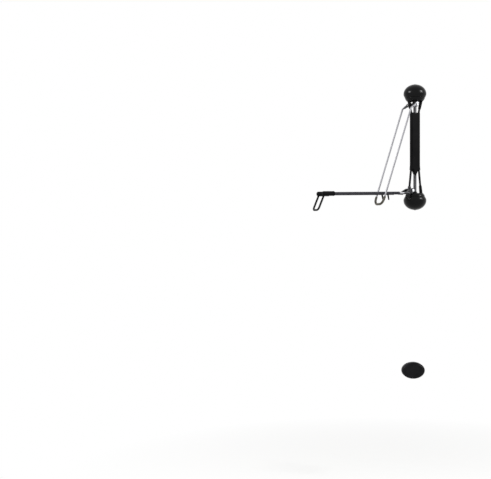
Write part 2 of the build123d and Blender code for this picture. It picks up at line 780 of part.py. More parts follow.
for hand, side in sides:
    wire_side = side * stirrup_side
    crank_end = (stirrup_crank_reach, wire_side, stirrup_crank_level)
    with BuildPart() as stirrup_knuckle:
        socket = crank_point(stirrup_socket_start, wire_side)
        with BuildSketch(side_plane(swing_plane, wire_side)):
            with Locations(stirrup_point):
                Circle(stirrup_eye_radius)
            with Locations((socket[0], socket[2])):
                Circle(stirrup_socket_radius)
            make_hull()
        extrude(amount=stirrup_eye_thickness / 2, both=True)
        with BuildSketch(cross_plane(swing_plane, socket, crank_end)):
            Circle(stirrup_socket_radius)
        extrude(amount=stirrup_socket_length)
        wire_root = crank_point(stirrup_wire_start, wire_side)
        with BuildSketch(cross_plane(swing_plane, wire_root, crank_end)):
            Circle(stirrup_radius + press_gap)
        extrude(amount=stirrup_socket_length, mode=Mode.SUBTRACT)
        with BuildSketch(side_plane(swing_plane, wire_side)):
            with Locations(stirrup_point):
                Circle(bolt_radius + running_gap)
        extrude(amount=stirrup_eye_thickness, both=True, mode=Mode.SUBTRACT)
    save(stirrup_knuckle, f"stirrup_knuckle_{hand}")
    leg_corners = (wire_root, crank_end, leg_point(bow_rise - bow_socket_depth, wire_side))
    leg_points = [swing_plane.from_local_coords(corner) for corner in leg_corners]
    save(bar(leg_points, stirrup_crank_radius, stirrup_radius), f"stirrup_leg_{hand}")

bow_corners = (
    leg_point(bow_rise, stirrup_side),
    leg_point(0, stirrup_side),
    leg_point(0, -stirrup_side),
    leg_point(bow_rise, -stirrup_side),
)
bow_points = [swing_plane.from_local_coords(corner) for corner in bow_corners]
bow_core = bar(bow_points, bow_bend_radius, bow_radius)
with BuildPart() as stirrup_bow:
    add(bow_core.part)
    for _, side in sides:
        mouth = leg_point(bow_rise, side * stirrup_side)
        with BuildSketch(cross_plane(swing_plane, mouth, leg_point(0, side * stirrup_side))):
            Circle(stirrup_radius + press_gap)
        extrude(amount=bow_socket_depth, mode=Mode.SUBTRACT)
save(stirrup_bow, "stirrup_bow")

# Tyre rest: a base screwed to the wall and a rubber pad that is pushed over it
rest_plane = Plane(origin=(0, 0, rest_level), x_dir=(1, 0, 0), z_dir=(0, -1, 0))
with BuildPart() as rest_base:
    with BuildSketch(rest_plane):
        Ellipse(rest_half_width - rest_wall, rest_half_height - rest_wall)
    extrude(amount=rest_base_thickness)
    with BuildSketch(rest_plane):
        with GridLocations(rest_screw_spacing, 0, 2, 1):
            Circle(rest_screw_radius)
    extrude(amount=rest_base_thickness, mode=Mode.SUBTRACT)
save(rest_base, "rest_base")

with BuildPart() as rest_pad:
    with BuildSketch(rest_plane):
        Ellipse(rest_half_width, rest_half_height)
    extrude(amount=rest_depth)
    fillet(rest_pad.edges().group_by(Axis.Y)[0], radius=rest_edge)
    with BuildSketch(rest_plane):
        Ellipse(
            rest_half_width - rest_wall + press_gap,
            rest_half_height - rest_wall + press_gap,
        )
    extrude(amount=rest_base_thickness + press_gap, mode=Mode.SUBTRACT)
    groove_centre = -rest_depth + rest_groove_depth - rest_groove_radius
    with BuildSketch(Plane.XY.offset(rest_level)):
        with Locations((0, groove_centre)):
            Circle(rest_groove_radius)
    extrude(amount=rest_half_height, both=True, mode=Mode.SUBTRACT)
save(rest_pad, "rest_pad")
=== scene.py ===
"""Bicycle wall rack, dressed: surfaces, finishes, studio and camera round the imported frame.

Sizes are millimetres where nothing else is said, and `MM` turns them into the frame's metres. The
swinging frame is described by how far a point lies out along the frame, to its right side, and up.
"""

import json
import logging
from dataclasses import dataclass
from enum import Enum
from itertools import chain
from math import cos, pi, radians, sin, tan
from typing import Iterator, Sequence

import bmesh
import bpy
import numpy as np
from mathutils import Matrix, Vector
from numpy.typing import NDArray


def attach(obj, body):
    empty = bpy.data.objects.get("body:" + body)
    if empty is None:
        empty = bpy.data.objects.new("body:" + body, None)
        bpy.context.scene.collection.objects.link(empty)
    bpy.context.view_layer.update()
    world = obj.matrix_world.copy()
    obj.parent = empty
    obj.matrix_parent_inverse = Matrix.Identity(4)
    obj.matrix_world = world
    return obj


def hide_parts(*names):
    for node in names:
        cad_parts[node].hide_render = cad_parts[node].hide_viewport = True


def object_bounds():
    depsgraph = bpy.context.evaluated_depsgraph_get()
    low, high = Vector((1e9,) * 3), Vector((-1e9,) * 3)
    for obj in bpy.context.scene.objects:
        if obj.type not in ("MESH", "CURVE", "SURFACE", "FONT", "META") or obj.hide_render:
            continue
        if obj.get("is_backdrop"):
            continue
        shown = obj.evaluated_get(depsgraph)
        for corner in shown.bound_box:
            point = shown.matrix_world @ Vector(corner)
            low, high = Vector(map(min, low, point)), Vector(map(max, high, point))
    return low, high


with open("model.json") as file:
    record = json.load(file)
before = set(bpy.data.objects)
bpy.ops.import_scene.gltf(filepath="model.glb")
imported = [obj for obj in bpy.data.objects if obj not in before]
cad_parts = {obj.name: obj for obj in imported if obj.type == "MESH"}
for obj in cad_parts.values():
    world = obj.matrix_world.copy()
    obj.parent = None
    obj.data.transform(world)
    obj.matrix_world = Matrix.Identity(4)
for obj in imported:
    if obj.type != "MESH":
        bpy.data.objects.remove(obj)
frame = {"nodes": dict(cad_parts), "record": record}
CAD_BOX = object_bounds()

Array = NDArray[np.float64]
Triple = tuple[float, float, float]
Profile = list[tuple[float, ...]]
Socket = bpy.types.NodeSocket
Feeds = dict[str | int, object]

MM = 0.001
WELD = 1e-6  # metres, under which two vertices are one
SAME_POINT = 1e-6  # under which two points of a path are one
PRESS_GAP = 0.05  # between a rod and what is pushed onto it
BAR_EDGE = 0.6  # radius of the end edges of rails, legs and cradle
HEX_HALF = pi / 6  # from the middle of a hexagon's flat to its corner
BEND_POINTS = 6  # fewest points in a bend
BEND_FINENESS = 2  # points in a bend, against a straight run of its length
EDGE_POINTS = 7  # points along a bar's round end edge
BEAD_MIDDLE, BEAD_WIDTH, BEAD_SPAN = 2.0, 0.6, 3.0  # of a bead, in radii of the bar's end edge
MIX_FIRST, MIX_SECOND, MIX_RESULT = 6, 7, 2  # colour sockets of the Mix node
NODE_STEP = 190.0  # between nodes in the editor
WHITE = (1.0, 1.0, 1.0)
log = logging.getLogger("wall_rack")


class Slot(Enum):
    """Finishes that the rack's pieces are sorted by."""

    PLATED = "plated_steel"
    NYLON = "white_nylon"
    GLOSS = "gloss_black_plastic"
    GREY = "grey_steel"
    DARK = "dark_steel"
    PAINTED = "black_painted_steel"
    MATTE = "matte_black_plastic"
    RUBBER = "dark_rubber"
    BLACK_RUBBER = "black_rubber"
    SMOKE_RUBBER = "smoke_rubber"
    BRIGHT = "bright_steel"


class Effect(Enum):
    """Surface effects that several finishes share."""

    GRAIN = "moulded_grain"
    SCUFFS = "handling_scuffs"
    DRAWN = "drawing_lines"
    DUST = "settled_dust"
    EDGES = "edge_wear"


class Body(Enum):
    """Bodies of the frame that pieces ride on."""

    WALL = "wall"
    SWING = "swing_frame"
    ARM = "lower_arm"
    STIRRUP = "stirrup"


class Hand(Enum):
    """Right and left side of the swinging frame, as the sign of the distance to the right."""

    RIGHT = 1
    LEFT = -1


class End(Enum):
    """Top and bottom of the rack, as the sign of the height."""

    TOP = 1
    BOTTOM = -1


class Rail(Enum):
    """Rails before and behind the axle, as the sign of the distance out."""

    FRONT = 1
    REAR = -1


@dataclass(frozen=True)
class Place:
    """An origin with three square directions.

    Args:
        origin: point that distances are counted from.
        out: direction away from the axle.
        right: direction to the right side.
        up: direction upwards.
    """

    origin: Array
    out: Array
    right: Array
    up: Array

    def at(self, out: float, right: float, up: float) -> Array:
        """Point at three distances from the origin."""
        return self.origin + out * self.out + right * self.right + up * self.up


SWING_LEFT = radians(67.0)
ARM_DROOP = radians(1.4)
UP = np.array([0.0, 0.0, 1.0])
TO_WALL = np.array([0.0, 1.0, 0.0])
LOWER_HINGE = (30.0, -208.0)  # reach and height of the bolt that the arm folds on
UPPER_HINGE = (14.5, 203.0)  # reach and height of the bolt that the stirrup folds on
SWING = Place(
    np.array([0.0, -62.0, 0.0]),
    np.array([-sin(SWING_LEFT), -cos(SWING_LEFT), 0.0]),
    np.array([cos(SWING_LEFT), -sin(SWING_LEFT), 0.0]),
    UP,
)
ARM = Place(
    SWING.at(LOWER_HINGE[0], 0.0, LOWER_HINGE[1]),
    cos(ARM_DROOP) * SWING.out - sin(ARM_DROOP) * UP,
    SWING.right,
    sin(ARM_DROOP) * SWING.out + cos(ARM_DROOP) * UP,
)


@dataclass
class Skin:
    """A mesh that is being made.

    Args:
        vertices: points, of shape (count, 3).
        faces: vertex numbers, as arrays of shape (count, corners).
    """

    vertices: Array
    faces: list[NDArray[np.int64]]


def joined(skins: Sequence[Skin]) -> Skin:
    """Make one skin of several.

    Args:
        skins: in the order in which they are joined.

    Returns:
        A skin with all their vertices and faces.
    """
    starts = np.cumsum([0] + [len(skin.vertices) for skin in skins])
    faces = [block + start for skin, start in zip(skins, starts) for block in skin.faces]
    return Skin(np.vstack([skin.vertices for skin in skins]), faces)


def unit(vector: Array) -> Array:
    """The vector, or each row of vectors, at length one."""
    return vector / np.linalg.norm(vector, axis=-1, keepdims=True)


def full_turn(count: int) -> Array:
    """Evenly spaced angles once round."""
    return np.linspace(0.0, 2 * pi, count, endpoint=False)


def turning(angle: Array, first: Array, second: Array) -> Array:
    """Directions at angles: the cosine along the first side plus the sine along the second."""
    return np.cos(angle)[:, None] * first[..., None, :] + np.sin(angle)[:, None] * second[..., None, :]


def grid_skin(points: Array, loop: bool = False) -> Skin:
    """Close a grid of rows round an axis into a skin.

    Each face joins two neighbours of a row to the same two of the next row, and the columns close on
    themselves. Without a loop each end row closes on one vertex at its mean.

    Args:
        points: grid of shape (rows, columns, 3), with the columns going round.
        loop: whether the last row joins the first, as on a pipe.

    Returns:
        The closed skin.
    """
    rows, columns = points.shape[:2]
    index = np.arange(rows * columns).reshape(rows, columns)
    ahead = np.roll(index, -1, axis=1)
    vertices = points.reshape(-1, 3)
    caps: list[NDArray[np.int64]] = []
    if loop:
        index, ahead = np.vstack([index, index[:1]]), np.vstack([ahead, ahead[:1]])
    else:
        first, last = np.full(columns, len(vertices)), np.full(columns, len(vertices) + 1)
        caps.append(np.stack([first, ahead[0], index[0]], axis=-1))
        caps.append(np.stack([last, index[-1], ahead[-1]], axis=-1))
        vertices = np.vstack([vertices, points[0].mean(axis=0), points[-1].mean(axis=0)])
    quads = np.stack([index[:-1], ahead[:-1], ahead[1:], index[1:]], axis=-1).reshape(-1, 4)
    return Skin(vertices, [quads, *caps])


def lathe(
    profile: Profile, origin: Array, axis: Array, across: Array, sides: int = 48, loop: bool = False
) -> Skin:
    """Turn a profile round an axis.

    A point is the origin, plus its height along the axis, plus its radius times the turning direction
    across it. Where a row is a hexagon, the radius is scaled by cos(30 deg) over the cosine of the
    angle to the nearest flat.

    Args:
        profile: rows of height along the axis and radius, in order outwards from the start, and in
            each row, where the piece has a hexagon, how much of one it is, from 0 to 1.
        origin: point from which heights are counted.
        axis: direction of the heights.
        across: a direction square to the axis, where the angle is zero.
        sides: points round a row.
        loop: whether the profile closes on itself, as on a pipe.

    Returns:
        The turned skin.
    """
    rows = np.array(profile, float)
    heights, radii = rows[:, 0, None, None], rows[:, 1, None]
    share = rows[:, 2:] if rows.shape[1] > 2 else np.zeros((len(rows), 1))
    angle = full_turn(sides)
    flat = cos(HEX_HALF) / np.cos(np.mod(angle, 2 * HEX_HALF) - HEX_HALF)
    spread = radii * (1.0 - share + share * flat)
    axis, across = unit(axis), unit(across)
    around = turning(angle, across, np.cross(axis, across))
    return grid_skin(origin + heights * axis + spread[:, :, None] * around, loop)


def hexed(profile: Profile, share: float) -> Profile:
    """Rows of a profile with how much of a hexagon they are."""
    return [(height, radius, share) for height, radius in profile]


def arc(centre: tuple[float, float], radius: float, start: float, end: float, steps: int) -> Profile:
    """Points of a round corner in a profile.

    Args:
        centre: height and radius of the corner's centre.
        radius: of the corner.
        start: angle in degrees at the first point, from the direction of the heights.
        end: angle in degrees at the last point.
        steps: parts the arc is cut into.

    Returns:
        Heights and radii: the centre plus the corner's radius times the cosine and sine.
    """
    angle = np.radians(np.linspace(start, end, steps + 1))
    return list(zip(centre[0] + radius * np.cos(angle), centre[1] + radius * np.sin(angle)))


def straight(start: Array, end: Array, spacing: float) -> Array:
    """Evenly spaced points from start to end."""
    count = max(2, int(np.linalg.norm(end - start) / spacing))
    return start + np.linspace(0.0, 1.0, count)[:, None] * (end - start)


def bent_path(corners: Sequence[Array], bend: float, spacing: float) -> Array:
    """Points along straight runs joined by round bends.

    A bend starts at the corner less the radius times the tangent of half the turn, and goes on as
    radius times (sine along the old direction, one less cosine along the new side).

    Args:
        corners: corner points.
        bend: radius of every bend.
        spacing: rough distance between points.

    Returns:
        Points along the path, of shape (count, 3).
    """
    runs: list[Array] = []
    start = corners[0]
    for before, corner, after in zip(corners, corners[1:], corners[2:]):
        inward, outward = unit(corner - before), unit(after - corner)
        turn = float(np.arccos(np.clip(inward @ outward, -1.0, 1.0)))
        reach = bend * tan(turn / 2)
        side = unit(outward - (outward @ inward) * inward)
        first = corner - reach * inward
        runs.append(straight(start, first, spacing))
        count = max(BEND_POINTS, int(turn * bend / spacing * BEND_FINENESS))
        angle = np.linspace(0.0, turn, count)[:, None]
        runs.append(first + bend * (np.sin(angle) * inward + (1 - np.cos(angle)) * side))
        start = corner + reach * outward
    runs.append(straight(start, corners[-1], spacing))
    path = np.vstack(runs)
    return path[np.r_[True, np.linalg.norm(np.diff(path, axis=0), axis=1) > SAME_POINT]]


def tube(
    path: Array,
    normal: Array,
    radius: float,
    end_round: float,
    bore: float = 0.0,
    tip: float | None = None,
    bead: float = 0.0,
    sides: int = 32,
) -> Skin:
    """Carry a round profile along a flat path.

    A point is the path's point plus the radius times (cosine along the path's normal, sine along the
    tangent crossed with it). Near each end the radius follows a quarter circle, so the edge is round,
    and a bead behind it is a bell curve of the distance from the end.

    Args:
        path: points in one plane.
        normal: direction square to that plane.
        radius: outer radius.
        end_round: radius of the round end edge.
        bore: radius of a bore right through, or 0 for a solid bar.
        tip: radius at the far end, where the bar tapers evenly.
        bead: how far a bead stands out just behind each end.
        sides: points round the bar.

    Returns:
        The tube's skin.
    """
    length = np.r_[0.0, np.cumsum(np.linalg.norm(np.diff(path, axis=0), axis=1))]
    total, span = length[-1], BEAD_SPAN * end_round
    edge = end_round * (1 - np.cos(np.linspace(0.0, pi / 2, EDGE_POINTS)))
    close = np.r_[edge, np.linspace(end_round, span, EDGE_POINTS)[1:-1]]
    along = np.r_[close, length[(length > span) & (length < total - span)], total - close[::-1]]
    spine = np.stack([np.interp(along, length, part) for part in path.T], axis=-1)
    near = np.minimum(along, total - along)
    inset = np.clip(end_round - near, 0.0, end_round)
    radii = radius - end_round + np.sqrt(end_round**2 - inset**2)
    if tip is not None:
        radii = radii + (tip - radius) * along / total
    from_bead = (near - BEAD_MIDDLE * end_round) / (BEAD_WIDTH * end_round)
    radii = radii + bead * np.exp(-(from_bead**2))
    tangent = unit(np.gradient(spine, axis=0))
    if bore:
        spine, tangent = np.vstack([spine, spine[::-1]]), np.vstack([tangent, tangent[::-1]])
        radii = np.r_[radii, np.full(len(radii), bore)]
    first = unit(unit(normal) - (tangent @ unit(normal))[:, None] * tangent)
    ring = turning(full_turn(sides), first, np.cross(tangent, first))
    return grid_skin(spine[:, None, :] + radii[:, None, None] * ring, loop=bool(bore))


@dataclass(frozen=True)
class Band:
    """A range of values that is mapped evenly onto another.

    Args:
        low: value that becomes to_low.
        high: value that becomes to_high.
        to_low: result at low.
        to_high: result at high.
    """

    low: float
    high: float
    to_low: float = 0.0
    to_high: float = 1.0


@dataclass(frozen=True)
class Speckle:
    """Noise that a band turns into patches.

    Args:
        scale: of the noise.
        detail: octaves of the noise.
        band: what its values become.
    """

    scale: float
    detail: float
    band: Band


class Sheet:
    """A node tree under construction, with short calls for the nodes that the finishes need."""

    def __init__(self, tree: bpy.types.NodeTree) -> None:
        """Empty the tree and keep it."""
        tree.nodes.clear()
        self.tree = tree

    def feed(self, target: Socket, value: object) -> None:
        """Feed an input.

        Args:
            target: input to feed.
            value: output to link to it, or the number, vector or colour to set.
        """
        if isinstance(value, Socket):
            self.tree.links.new(value, target)
        elif target.type == "RGBA":
            target.default_value = (*value, 1.0)
        else:
            target.default_value = value

    def add(self, kind: str, feeds: Feeds | None = None, **settings: object) -> bpy.types.Node:
        """Add a node.

        Args:
            kind: type name of the node.
            feeds: what its inputs get, by name or number.
            settings: properties of the node to set.

        Returns:
            The new node.
        """
        node = self.tree.nodes.new(kind)
        node.location = (NODE_STEP * len(self.tree.nodes), 0.0)
        for name, value in settings.items():
            setattr(node, name, value)
        for name, value in (feeds or {}).items():
            self.feed(node.inputs[name], value)
        return node

    def place(self) -> Socket:
        """Object coordinates."""
        return self.add("ShaderNodeTexCoord").outputs["Object"]

    def normal(self) -> Socket:
        """The surface's normal."""
        return self.add("ShaderNodeNewGeometry").outputs["Normal"]

    def math(self, operation: str, first: object, second: object) -> Socket:
        """Result of one of Blender's operations on two numbers or sockets."""
        return self.add("ShaderNodeMath", {0: first, 1: second}, operation=operation).outputs[0]

    def spread(self, value: Socket, band: Band) -> Socket:
        """Map a value by a band, and clamp it there.

        Args:
            value: socket to map.
            band: what its values become.

        Returns:
            The result's socket.
        """
        feeds = {
            "Value": value,
            "From Min": band.low,
            "From Max": band.high,
            "To Min": band.to_low,
            "To Max": band.to_high,
        }
        return self.add("ShaderNodeMapRange", feeds, clamp=True).outputs["Result"]

    def mix(self, share: Socket, first: object, second: object) -> Socket:
        """Mix of two colours or colour sockets, the first at share 0 and the second at 1."""
        feeds = {0: share, MIX_FIRST: first, MIX_SECOND: second}
        return self.add("ShaderNodeMix", feeds, data_type="RGBA").outputs[MIX_RESULT]

    def noise(self, vector: Socket, scale: object, detail: float) -> Socket:
        """Noise over a vector, with a number or a socket as its scale."""
        feeds = {"Vector": vector, "Scale": scale, "Detail": detail}
        return self.add("ShaderNodeTexNoise", feeds).outputs["Fac"]

    def patches(self, vector: Socket, speckle: Speckle) -> Socket:
        """A speckle over a vector."""
        return self.spread(self.noise(vector, speckle.scale, speckle.detail), speckle.band)

    def group(self, tree: bpy.types.NodeTree, feeds: Feeds) -> bpy.types.bpy_prop_collection:
        """Outputs of a node group that is placed here with its own values."""
        return self.add("ShaderNodeGroup", feeds, node_tree=tree).outputs

    def blend(self, share: Socket, first: bpy.types.Node, second: bpy.types.Node, sink: str) -> None:
        """Mix two shaders by a share into an output node of the kind that sink names."""
        mixed = self.add("ShaderNodeMixShader", {0: share, 1: first.outputs[0], 2: second.outputs[0]})
        self.add(sink, {"Surface": mixed.outputs[0]})


@dataclass(frozen=True)
class Effects:
    """Shader node groups that more than one finish uses.

    Args:
        grain_detail: octaves that roughen the grain's cells.
        cloud_detail: octaves of the grain's clouds.
        cloud_band: cloud noise to tone.
        scuff_scale: of the scuff marks.
        scuff_turn: angles in radians that lay the scuffs slantwise.
        scuff_stretch: of the scuffs along each axis.
        scuff_detail: octaves of the scuffs.
        scuff_patches: stretches with more or fewer scuffs.
        scuff_band: height over the level to mask.
        line_detail: octaves of the drawing lines.
        line_share: of the lines in the drawn tone, beside the clouds.
        line_clouds: scale and octaves of those clouds.
        line_band: lines and clouds to tone.
        dust_band: upward part of the normal to dust.
        dust_flecks: flecks that break up the dust.
        edge_samples: rays that feel for an edge.
        edge_band: likeness of the normal to its mean, to wear.
        edge_patches: stretches with more or less wear.
    """

    grain_detail: float = 3.0
    cloud_detail: float = 4.0
    cloud_band: Band = Band(0.3, 0.7)
    scuff_scale: float = 110.0
    scuff_turn: Triple = (0.5, 0.3, 0.8)
    scuff_stretch: Triple = (1.0, 7.0, 1.8)
    scuff_detail: float = 6.0
    scuff_patches: Speckle = Speckle(22.0, 2.0, Band(0.42, 0.62, 0.6, 1.25))
    scuff_band: Band = Band(0.0, 0.16)
    line_detail: float = 4.0
    line_share: float = 0.5
    line_clouds: tuple[float, float] = (18.0, 3.0)
    line_band: Band = Band(0.35, 0.65)
    dust_band: Band = Band(0.55, 1.0)
    dust_flecks: Speckle = Speckle(260.0, 5.0, Band(0.4, 0.75, 0.2))
    edge_samples: int = 6
    edge_band: Band = Band(0.985, 0.88)
    edge_patches: Speckle = Speckle(130.0, 5.0, Band(0.4, 0.65, 0.1))

    @staticmethod
    def start(
        effect: Effect, inputs: Sequence[str], outputs: Sequence[str]
    ) -> tuple[Sheet, bpy.types.Node]:
        """Begin a group.

        Args:
            effect: that the group makes.
            inputs: names of its value inputs.
            outputs: names of its value outputs.

        Returns:
            A sheet on the group, and the node that gives its inputs.
        """
        tree = bpy.data.node_groups.new(effect.value, "ShaderNodeTree")
        for way, names in (("INPUT", inputs), ("OUTPUT", outputs)):
            for name in names:
                tree.interface.new_socket(name, in_out=way, socket_type="NodeSocketFloat")
        sheet = Sheet(tree)
        return sheet, sheet.add("NodeGroupInput")

    def grain(self) -> bpy.types.NodeTree:
        """Moulded grain: fine cells for the height, and slow clouds for the tone.

        Returns:
            The group, from Scale and Cloud Scale to Height and Tone.
        """
        sheet, source = self.start(Effect.GRAIN, ("Scale", "Cloud Scale"), ("Height", "Tone"))
        place, scale = sheet.place(), source.outputs["Scale"]
        feeds = {"Vector": place, "Scale": scale}
        cells = sheet.add("ShaderNodeTexVoronoi", feeds, feature="SMOOTH_F1")
        rough = sheet.noise(place, scale, self.grain_detail)
        height = sheet.math("MULTIPLY", cells.outputs["Distance"], rough)
        clouds = sheet.noise(place, source.outputs["Cloud Scale"], self.cloud_detail)
        sheet.add("NodeGroupOutput", {"Height": height, "Tone": sheet.spread(clouds, self.cloud_band)})
        return sheet.tree

    def scuffs(self) -> bpy.types.NodeTree:
        """Handling scuffs: short thin marks where two stretched noises both run high.

        Returns:
            The group, from Level, where marks begin, to Mask.
        """
        sheet, source = self.start(Effect.SCUFFS, ("Level",), ("Mask",))
        place = sheet.place()
        feeds = {"Vector": place, "Rotation": self.scuff_turn, "Scale": self.scuff_stretch}
        slant = sheet.add("ShaderNodeMapping", feeds).outputs["Vector"]
        marks = sheet.noise(slant, self.scuff_scale, self.scuff_detail)
        both = sheet.math("MULTIPLY", marks, sheet.patches(place, self.scuff_patches))
        over = sheet.math("SUBTRACT", both, source.outputs["Level"])
        sheet.add("NodeGroupOutput", {"Mask": sheet.spread(over, self.scuff_band)})
        return sheet.tree

    def drawn(self) -> bpy.types.NodeTree:
        """Drawing lines on rod and tube: noise that is squeezed across and stretched along.

        Returns:
            The group, from Across and Along, the density each way, to Height and Tone.
        """
        sheet, source = self.start(Effect.DRAWN, ("Across", "Along"), ("Height", "Tone"))
        place = sheet.place()
        parts = sheet.add("ShaderNodeSeparateXYZ", {0: place})
        squeezed = {
            axis: sheet.math("MULTIPLY", parts.outputs[axis], source.outputs[name])
            for axis, name in (("X", "Across"), ("Y", "Across"), ("Z", "Along"))
        }
        drawn_out = sheet.add("ShaderNodeCombineXYZ", squeezed).outputs[0]
        lines = sheet.noise(drawn_out, 1.0, self.line_detail)
        clouds = sheet.noise(place, *self.line_clouds)
        shared = sheet.math("MULTIPLY", lines, self.line_share)
        both = sheet.math("ADD", shared, sheet.math("MULTIPLY", clouds, 1.0 - self.line_share))
        sheet.add("NodeGroupOutput", {"Height": lines, "Tone": sheet.spread(both, self.line_band)})
        return sheet.tree

    def dust(self) -> bpy.types.NodeTree:
        """Settled dust: the upward part of the normal, broken up by noise.

        Returns:
            The group, from Amount to Mask.
        """
        sheet, source = self.start(Effect.DUST, ("Amount",), ("Mask",))
        height = sheet.add("ShaderNodeSeparateXYZ", {0: sheet.normal()}).outputs["Z"]
        flecks = sheet.patches(sheet.place(), self.dust_flecks)
        broken = sheet.math("MULTIPLY", sheet.spread(height, self.dust_band), flecks)
        settled = sheet.math("MULTIPLY", broken, source.outputs["Amount"])
        sheet.add("NodeGroupOutput", {"Mask": settled})
        return sheet.tree

    def edges(self) -> bpy.types.NodeTree:
        """Edge wear: where the normal turns from its mean over a small radius, broken up by noise.

        Returns:
            The group, from Radius, in metres, to Mask.
        """
        sheet, source = self.start(Effect.EDGES, ("Radius",), ("Mask",))
        radius = {"Radius": source.outputs["Radius"]}
        mean = sheet.add("ShaderNodeBevel", radius, samples=self.edge_samples).outputs["Normal"]
        normals = {0: mean, 1: sheet.normal()}
        alike = sheet.add("ShaderNodeVectorMath", normals, operation="DOT_PRODUCT").outputs["Value"]
        patches = sheet.patches(sheet.place(), self.edge_patches)
        worn = sheet.math("MULTIPLY", sheet.spread(alike, self.edge_band), patches)
        sheet.add("NodeGroupOutput", {"Mask": worn})
        return sheet.tree

    def build(self) -> dict[Effect, bpy.types.NodeTree]:
        """Build every group once, in the order of the effects."""
        groups = (self.grain(), self.scuffs(), self.drawn(), self.dust(), self.edges())
        return dict(zip(Effect, groups))


@dataclass(frozen=True)
class Finish:
    """Look of one slot, common to every kind of finish.

    Args:
        slot: slot it belongs to.
        dark: darker colour of the mottling.
        light: lighter colour of the mottling.
        rough: lowest and highest roughness.
        specular: strength of plain reflection.
        dust: amount of settled dust.
        scuff_level: height from which scuffs show.
        scuff_tint: colour of the scuffs.
        edge_tint: colour of worn edges.
        metallic: 1 for bare or plated metal, 0 for plastic, rubber and paint.
        relief: strength of the grain or lines.
        relief_depth: of the grain or lines, in metres.
        dust_tint: colour of dust.
        dust_roughness: what full dust adds to the roughness.
        edge_radius: over which an edge is felt, in metres.
        edge_polish: what full wear takes from the roughness.
    """

    slot: Slot
    dark: Triple
    light: Triple
    rough: tuple[float, float]
    specular: float = 0.5
    dust: float = 0.1
    scuff_level: float = 0.62
    scuff_tint: Triple = (0.12, 0.12, 0.12)
    edge_tint: Triple = (0.03, 0.03, 0.031)
    metallic: float = 0.0
    relief: float = 0.3
    relief_depth: float = 0.0002
    dust_tint: Triple = (0.42, 0.41, 0.39)
    dust_roughness: float = 0.5
    edge_radius: float = 0.0008
    edge_polish: float = 0.1

    def pattern(self) -> tuple[Effect, Feeds]:
        """Effect that gives this finish its Height and Tone, and what its inputs get."""
        raise NotImplementedError

    def material(self, groups: dict[Effect, bpy.types.NodeTree]) -> bpy.types.Material:
        """Build the material.

        Args:
            groups: shared node groups.

        Returns:
            The finished material.
        """
        made = bpy.data.materials.new(self.slot.value)
        made.use_nodes = True
        sheet = Sheet(made.node_tree)
        pattern, scales = self.pattern()
        surface = sheet.group(groups[pattern], scales)
        colour = sheet.mix(surface["Tone"], self.dark, self.light)
        wear = (
            (Effect.SCUFFS, {"Level": self.scuff_level}, self.scuff_tint),
            (Effect.EDGES, {"Radius": self.edge_radius}, self.edge_tint),
            (Effect.DUST, {"Amount": self.dust}, self.dust_tint),
        )
        masks: dict[Effect, Socket] = {}
        for effect, values, tint in wear:
            masks[effect] = sheet.group(groups[effect], values)["Mask"]
            colour = sheet.mix(masks[effect], colour, tint)
        smooth = sheet.spread(surface["Tone"], Band(0.0, 1.0, *self.rough))
        polish = sheet.math("MULTIPLY", masks[Effect.EDGES], self.edge_polish)
        dulling = sheet.math("MULTIPLY", masks[Effect.DUST], self.dust_roughness)
        relief = {"Height": surface["Height"], "Strength": self.relief, "Distance": self.relief_depth}
        looks = {
            "Base Color": colour,
            "Roughness": sheet.math("ADD", sheet.math("SUBTRACT", smooth, polish), dulling),
            "Metallic": self.metallic,
            "Specular IOR Level": self.specular,
            "Normal": sheet.add("ShaderNodeBump", relief).outputs["Normal"],
        }
        shader = sheet.add("ShaderNodeBsdfPrincipled", looks)
        sheet.add("ShaderNodeOutputMaterial", {"Surface": shader.outputs["BSDF"]})
        return made


@dataclass(frozen=True)
class Moulding(Finish):
    """Moulded plastic or rubber.

    Args:
        cells: scale of the grain.
        clouds: scale of the mottling.
    """

    cells: float = 900.0
    clouds: float = 14.0

    def pattern(self) -> tuple[Effect, Feeds]:
        """Moulded grain at this finish's scales."""
        return Effect.GRAIN, {"Scale": self.cells, "Cloud Scale": self.clouds}


@dataclass(frozen=True)
class Steel(Finish):
    """Bare, plated or painted steel.

    Args:
        metallic: 0 only under paint.
        relief: strength of the drawing lines.
        across: density of the drawing lines.
        along: their change along the part.
    """

    metallic: float = 1.0
    relief: float = 0.15
    across: float = 900.0
    along: float = 40.0

    def pattern(self) -> tuple[Effect, Feeds]:
        """Drawing lines at this finish's densities."""
        return Effect.DRAWN, {"Across": self.across, "Along": self.along}


